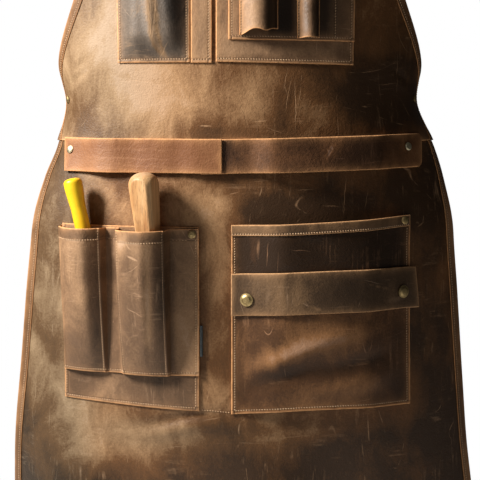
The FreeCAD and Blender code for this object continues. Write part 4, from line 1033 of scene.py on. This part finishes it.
FOLD_ROUND_BAR = [(-38, -1.35), (-24, -1.35), (-12, -1.7), (-6, -2.7), (0, -3.25), (2.3, -2.3),
                  (3.25, 0), (2.3, 2.3), (0, 3.25), (-6, 2.7), (-12, 1.7), (-24, 1.35), (-38, 1.35)]
THREADED = [(-57, 4.1), (-45, 4.1), (-30, 4.1), (-14, 4.5), (-6, 5.6), (-1.4, 5.95), (5, 5.2), (12, 2.0),
            (17, -0.3), (28, -3.4), (36, -3.3), (48, -2.2), (58, -0.9), (68, 0), (80, 0)]
NECK_WIDE, BELT_WIDE, BOW, RING_X, RING_Z = 25.0, 36.0, 17.0, 100.0, 353.0 + WAIST
ROD = np.array([0, -86.0, -8.0])


def ring_fold(bow, sign):
    return [(bow + sign * a, b) for a, b in
            [(34, -1.35), (24, -1.35), (12, -1.8), (6, -3.1), (0, -4.5), (-3.2, -3.2), (-4.5, 0),
             (-3.2, 3.2), (0, 4.5), (6, 3.1), (12, 1.8), (24, 1.35), (34, 1.35)]]


def necked(a, bow):
    """Half the width of a strap near a ring's bow, narrowed to pass through it."""
    return float(np.interp(abs(a), [0, bow + 9, bow + 25, 999], [6, 6, NECK_WIDE / 2, NECK_WIDE / 2]))


drop, arch_r = ROD[2] - RING_Z, 5 + 1.3 + STRAP / 2
reach = math.hypot(RING_X, drop)
lean = math.atan2(RING_X, drop) - math.asin(arch_r / reach)
leg = math.sqrt(reach**2 - arch_r**2)
front_way, back_way = np.array([0, -1.0, 0]), np.array([0, 1.0, 0])


def leg_frame(sign):
    return (np.array([sign * RING_X, ROD[1], RING_Z]), np.array([-sign * math.sin(lean), 0, math.cos(lean)]),
            np.array([math.cos(lean), 0, sign * math.sin(lean)]))


centre, along, across = leg_frame(1)
bar = BOW + 85
points = [centre + along * (bar + a) + front_way * o for a, o in THREADED]
broad, half = [across] * len(points), [NECK_WIDE / 2] * len(points)
for f in np.linspace(0.06, 1, 12):
    a = math.pi / 2 * f * f * (3 - 2 * f)
    points.append(centre + along * (bar + 80 + (leg - bar - 80) * f))
    broad.append(across * math.cos(a) + back_way * math.sin(a))
for a in np.linspace(lean, math.pi - lean, 9)[1:-1]:
    points.append(ROD + arch_r * np.array([math.cos(a), 0, math.sin(a)]))
    broad.append(back_way)
centre, along, across = leg_frame(-1)
for f in np.linspace(1, 0, 13):
    a = math.pi / 2 * f * f * (3 - 2 * f)
    points.append(centre + along * (100 + (leg - 100) * f))
    broad.append(across * math.cos(a) + back_way * math.sin(a))
half = [NECK_WIDE / 2] * len(points)
for a, o in [(BOW + 70, 0), (BOW + 58, 0), (BOW + 46, 0.8)] + ring_fold(BOW, 1)[::-1]:
    points.append(centre + along * a + front_way * o)
    broad.append(across)
    half.append(necked(a, BOW))
strap("neck_strap_main", "neck_strap", "neck_strap_long", points, broad, half, STRAP, slits=[(5, 8, 2.4)])
centre, along, across = leg_frame(1)
path = FOLD_ROUND_BAR + ring_fold(-85, 1)[::-1]
strap("neck_strap_ring_end", "neck_strap", "neck_strap_short", [centre + along * (bar + a) + front_way * o for a, o in path],
      [across] * len(path), [necked(a + bar, BOW) for a, o in path],
      STRAP, slits=[(3, 9, 2.4)])

belt_z = 55.0


def belt_side(sign):
    edge = around(sign * math.radians(90), belt_z, -1.0)[0]
    spots = [(sign * 150, -12), (sign * 172, -12), (edge - sign * 17, -12.3), (edge - sign * 7.5, -14.2),
             (edge - sign * 1.6, -20)]
    return spots + [tuple(around(sign * math.radians(d), belt_z, -1.6)[:2]) for d in (86, 80, 74)]


for name, node, path, sign, slit in (
        ("belt_buckle_end", "belt_left", FOLD_ROUND_BAR + [(-60, 0.9), (-85, 0.2), (-110, 0)], -1, (3, 9, 2.6)),
        ("belt_tongue_end", "belt_right", THREADED + [(110, 0)], 1, (5, 8, 2.4))):
    spots = [(a - 12, o - 12) for a, o in path] + belt_side(sign)
    strap(name, "apron", node, [(x, y, belt_z + WAIST) for x, y in spots], [(0, 0, 1)] * len(spots),
          [BELT_WIDE / 2] * len(spots), STRAP, slits=[slit], step=2.6)


for word, sign in (("left", -1), ("right", 1)):
    x = sign * RING_X
    gap_to = lambda z: -86.0 - float(at(np.array(x), np.array(float(z)), (BIB_BACK + BIB_FACE) / 2)[1])
    path = ([(z - 353, gap_to(z) + 5.6) for z in (302, 322, 340)]
            + [(-5, 4.7), (0, 3.3), (2.33, 2.33), (3.3, 0), (2.33, -2.33), (0, -3.3), (-6, -3.7)]
            + [(z - 353, gap_to(z) - 3.8) for z in (340, 322, 302)])
    strap("ring_tab_" + word, "apron", "tab_" + word, [(x, -86.0 - o, RING_Z + a) for a, o in path],
          [(1, 0, 0)] * len(path), [12.0] * len(path), 2.0, step=1.6)

# ---------------------------------------------------------------- the model's own hardware
FINISH = {"hook_plate": IRON, "hook_arm": IRON, "chisel_ferrule": BRASS, "chisel_blade": STEEL, "marker_cap": BLACK,
          "waist_rivet_left": BRIGHT, "waist_rivet_right": BRIGHT}
for name, node in nodes.items():
    if node.hide_render:
        continue
    material = FINISH.get(name)
    if material is None:
        hard = any(w in name for w in ("rivet", "buckle", "prong", "ring", "snap"))
        material = BRASS if hard else STRAP_HIDE
    node.data.materials.clear()
    node.data.materials.append(material)

# ---------------------------------------------------------------- floor, light, camera
floor_mesh = bpy.data.meshes.new("floor")
floor_mesh.from_pydata([(-2.2, -2.4, -1.27), (2.2, -2.4, -1.27), (2.2, 0.36, -1.27), (-2.2, 0.36, -1.27)], [], [(0, 1, 2, 3)])
floor = bpy.data.objects.new("floor", floor_mesh)
bpy.context.scene.collection.objects.link(floor)
ground = Paint("floor")
floor_mesh.materials.append(ground.set(Base_Color=ground.mix(ground.noise(3, 2), (0.60, 0.60, 0.59), (0.66, 0.65, 0.64)), Roughness=0.8))

world = bpy.data.worlds.new("studio")
bpy.context.scene.world = world
world.use_nodes = True
tree = world.node_tree
plain_light = tree.nodes["Background"]
plain_light.inputs[0].default_value = (1, 0.96, 0.92, 1)
plain_light.inputs[1].default_value = 0.022
white = tree.nodes.new("ShaderNodeBackground")
white.inputs[0].default_value = (1, 1, 1, 1)
white.inputs[1].default_value = 1.0
choose, ray = tree.nodes.new("ShaderNodeMixShader"), tree.nodes.new("ShaderNodeLightPath")
tree.links.new(ray.outputs["Is Camera Ray"], choose.inputs[0])
tree.links.new(plain_light.outputs[0], choose.inputs[1])
tree.links.new(white.outputs[0], choose.inputs[2])
tree.links.new(choose.outputs[0], tree.nodes["World Output"].inputs[0])


def lamp(name, spot, target, power, size, colour=(1, 1, 1)):
    data = bpy.data.lights.new(name, "AREA")
    data.shape, data.size, data.size_y = "RECTANGLE", size[0], size[1]
    data.energy, data.color = power, colour
    light = bpy.data.objects.new(name, data)
    light.location = spot
    light.rotation_euler = (Vector(target) - Vector(spot)).to_track_quat("-Z", "Y").to_euler()
    bpy.context.scene.collection.objects.link(light)


lamp("key", (-1.223, -0.56, 0.13), (-0.02, -0.12, -0.55), 60, (0.30, 0.45), (1, 0.965, 0.91))
lamp("front_fill", (-0.35, -2.0, 0.2), (0, -0.1, -0.7), 1.6, (1.2, 1.0), (1, 0.97, 0.93))

bpy.context.scene.view_settings.view_transform = "Standard"
camera_data = bpy.data.cameras.new("camera")
camera_data.sensor_width, camera_data.lens = 36, 82.44
camera = bpy.data.objects.new("camera", camera_data)
camera.location = (0, -1.317, -0.6255)
camera.rotation_euler = (math.radians(90 - 7.054), 0, 0)
bpy.context.scene.collection.objects.link(camera)
bpy.context.scene.camera = camera
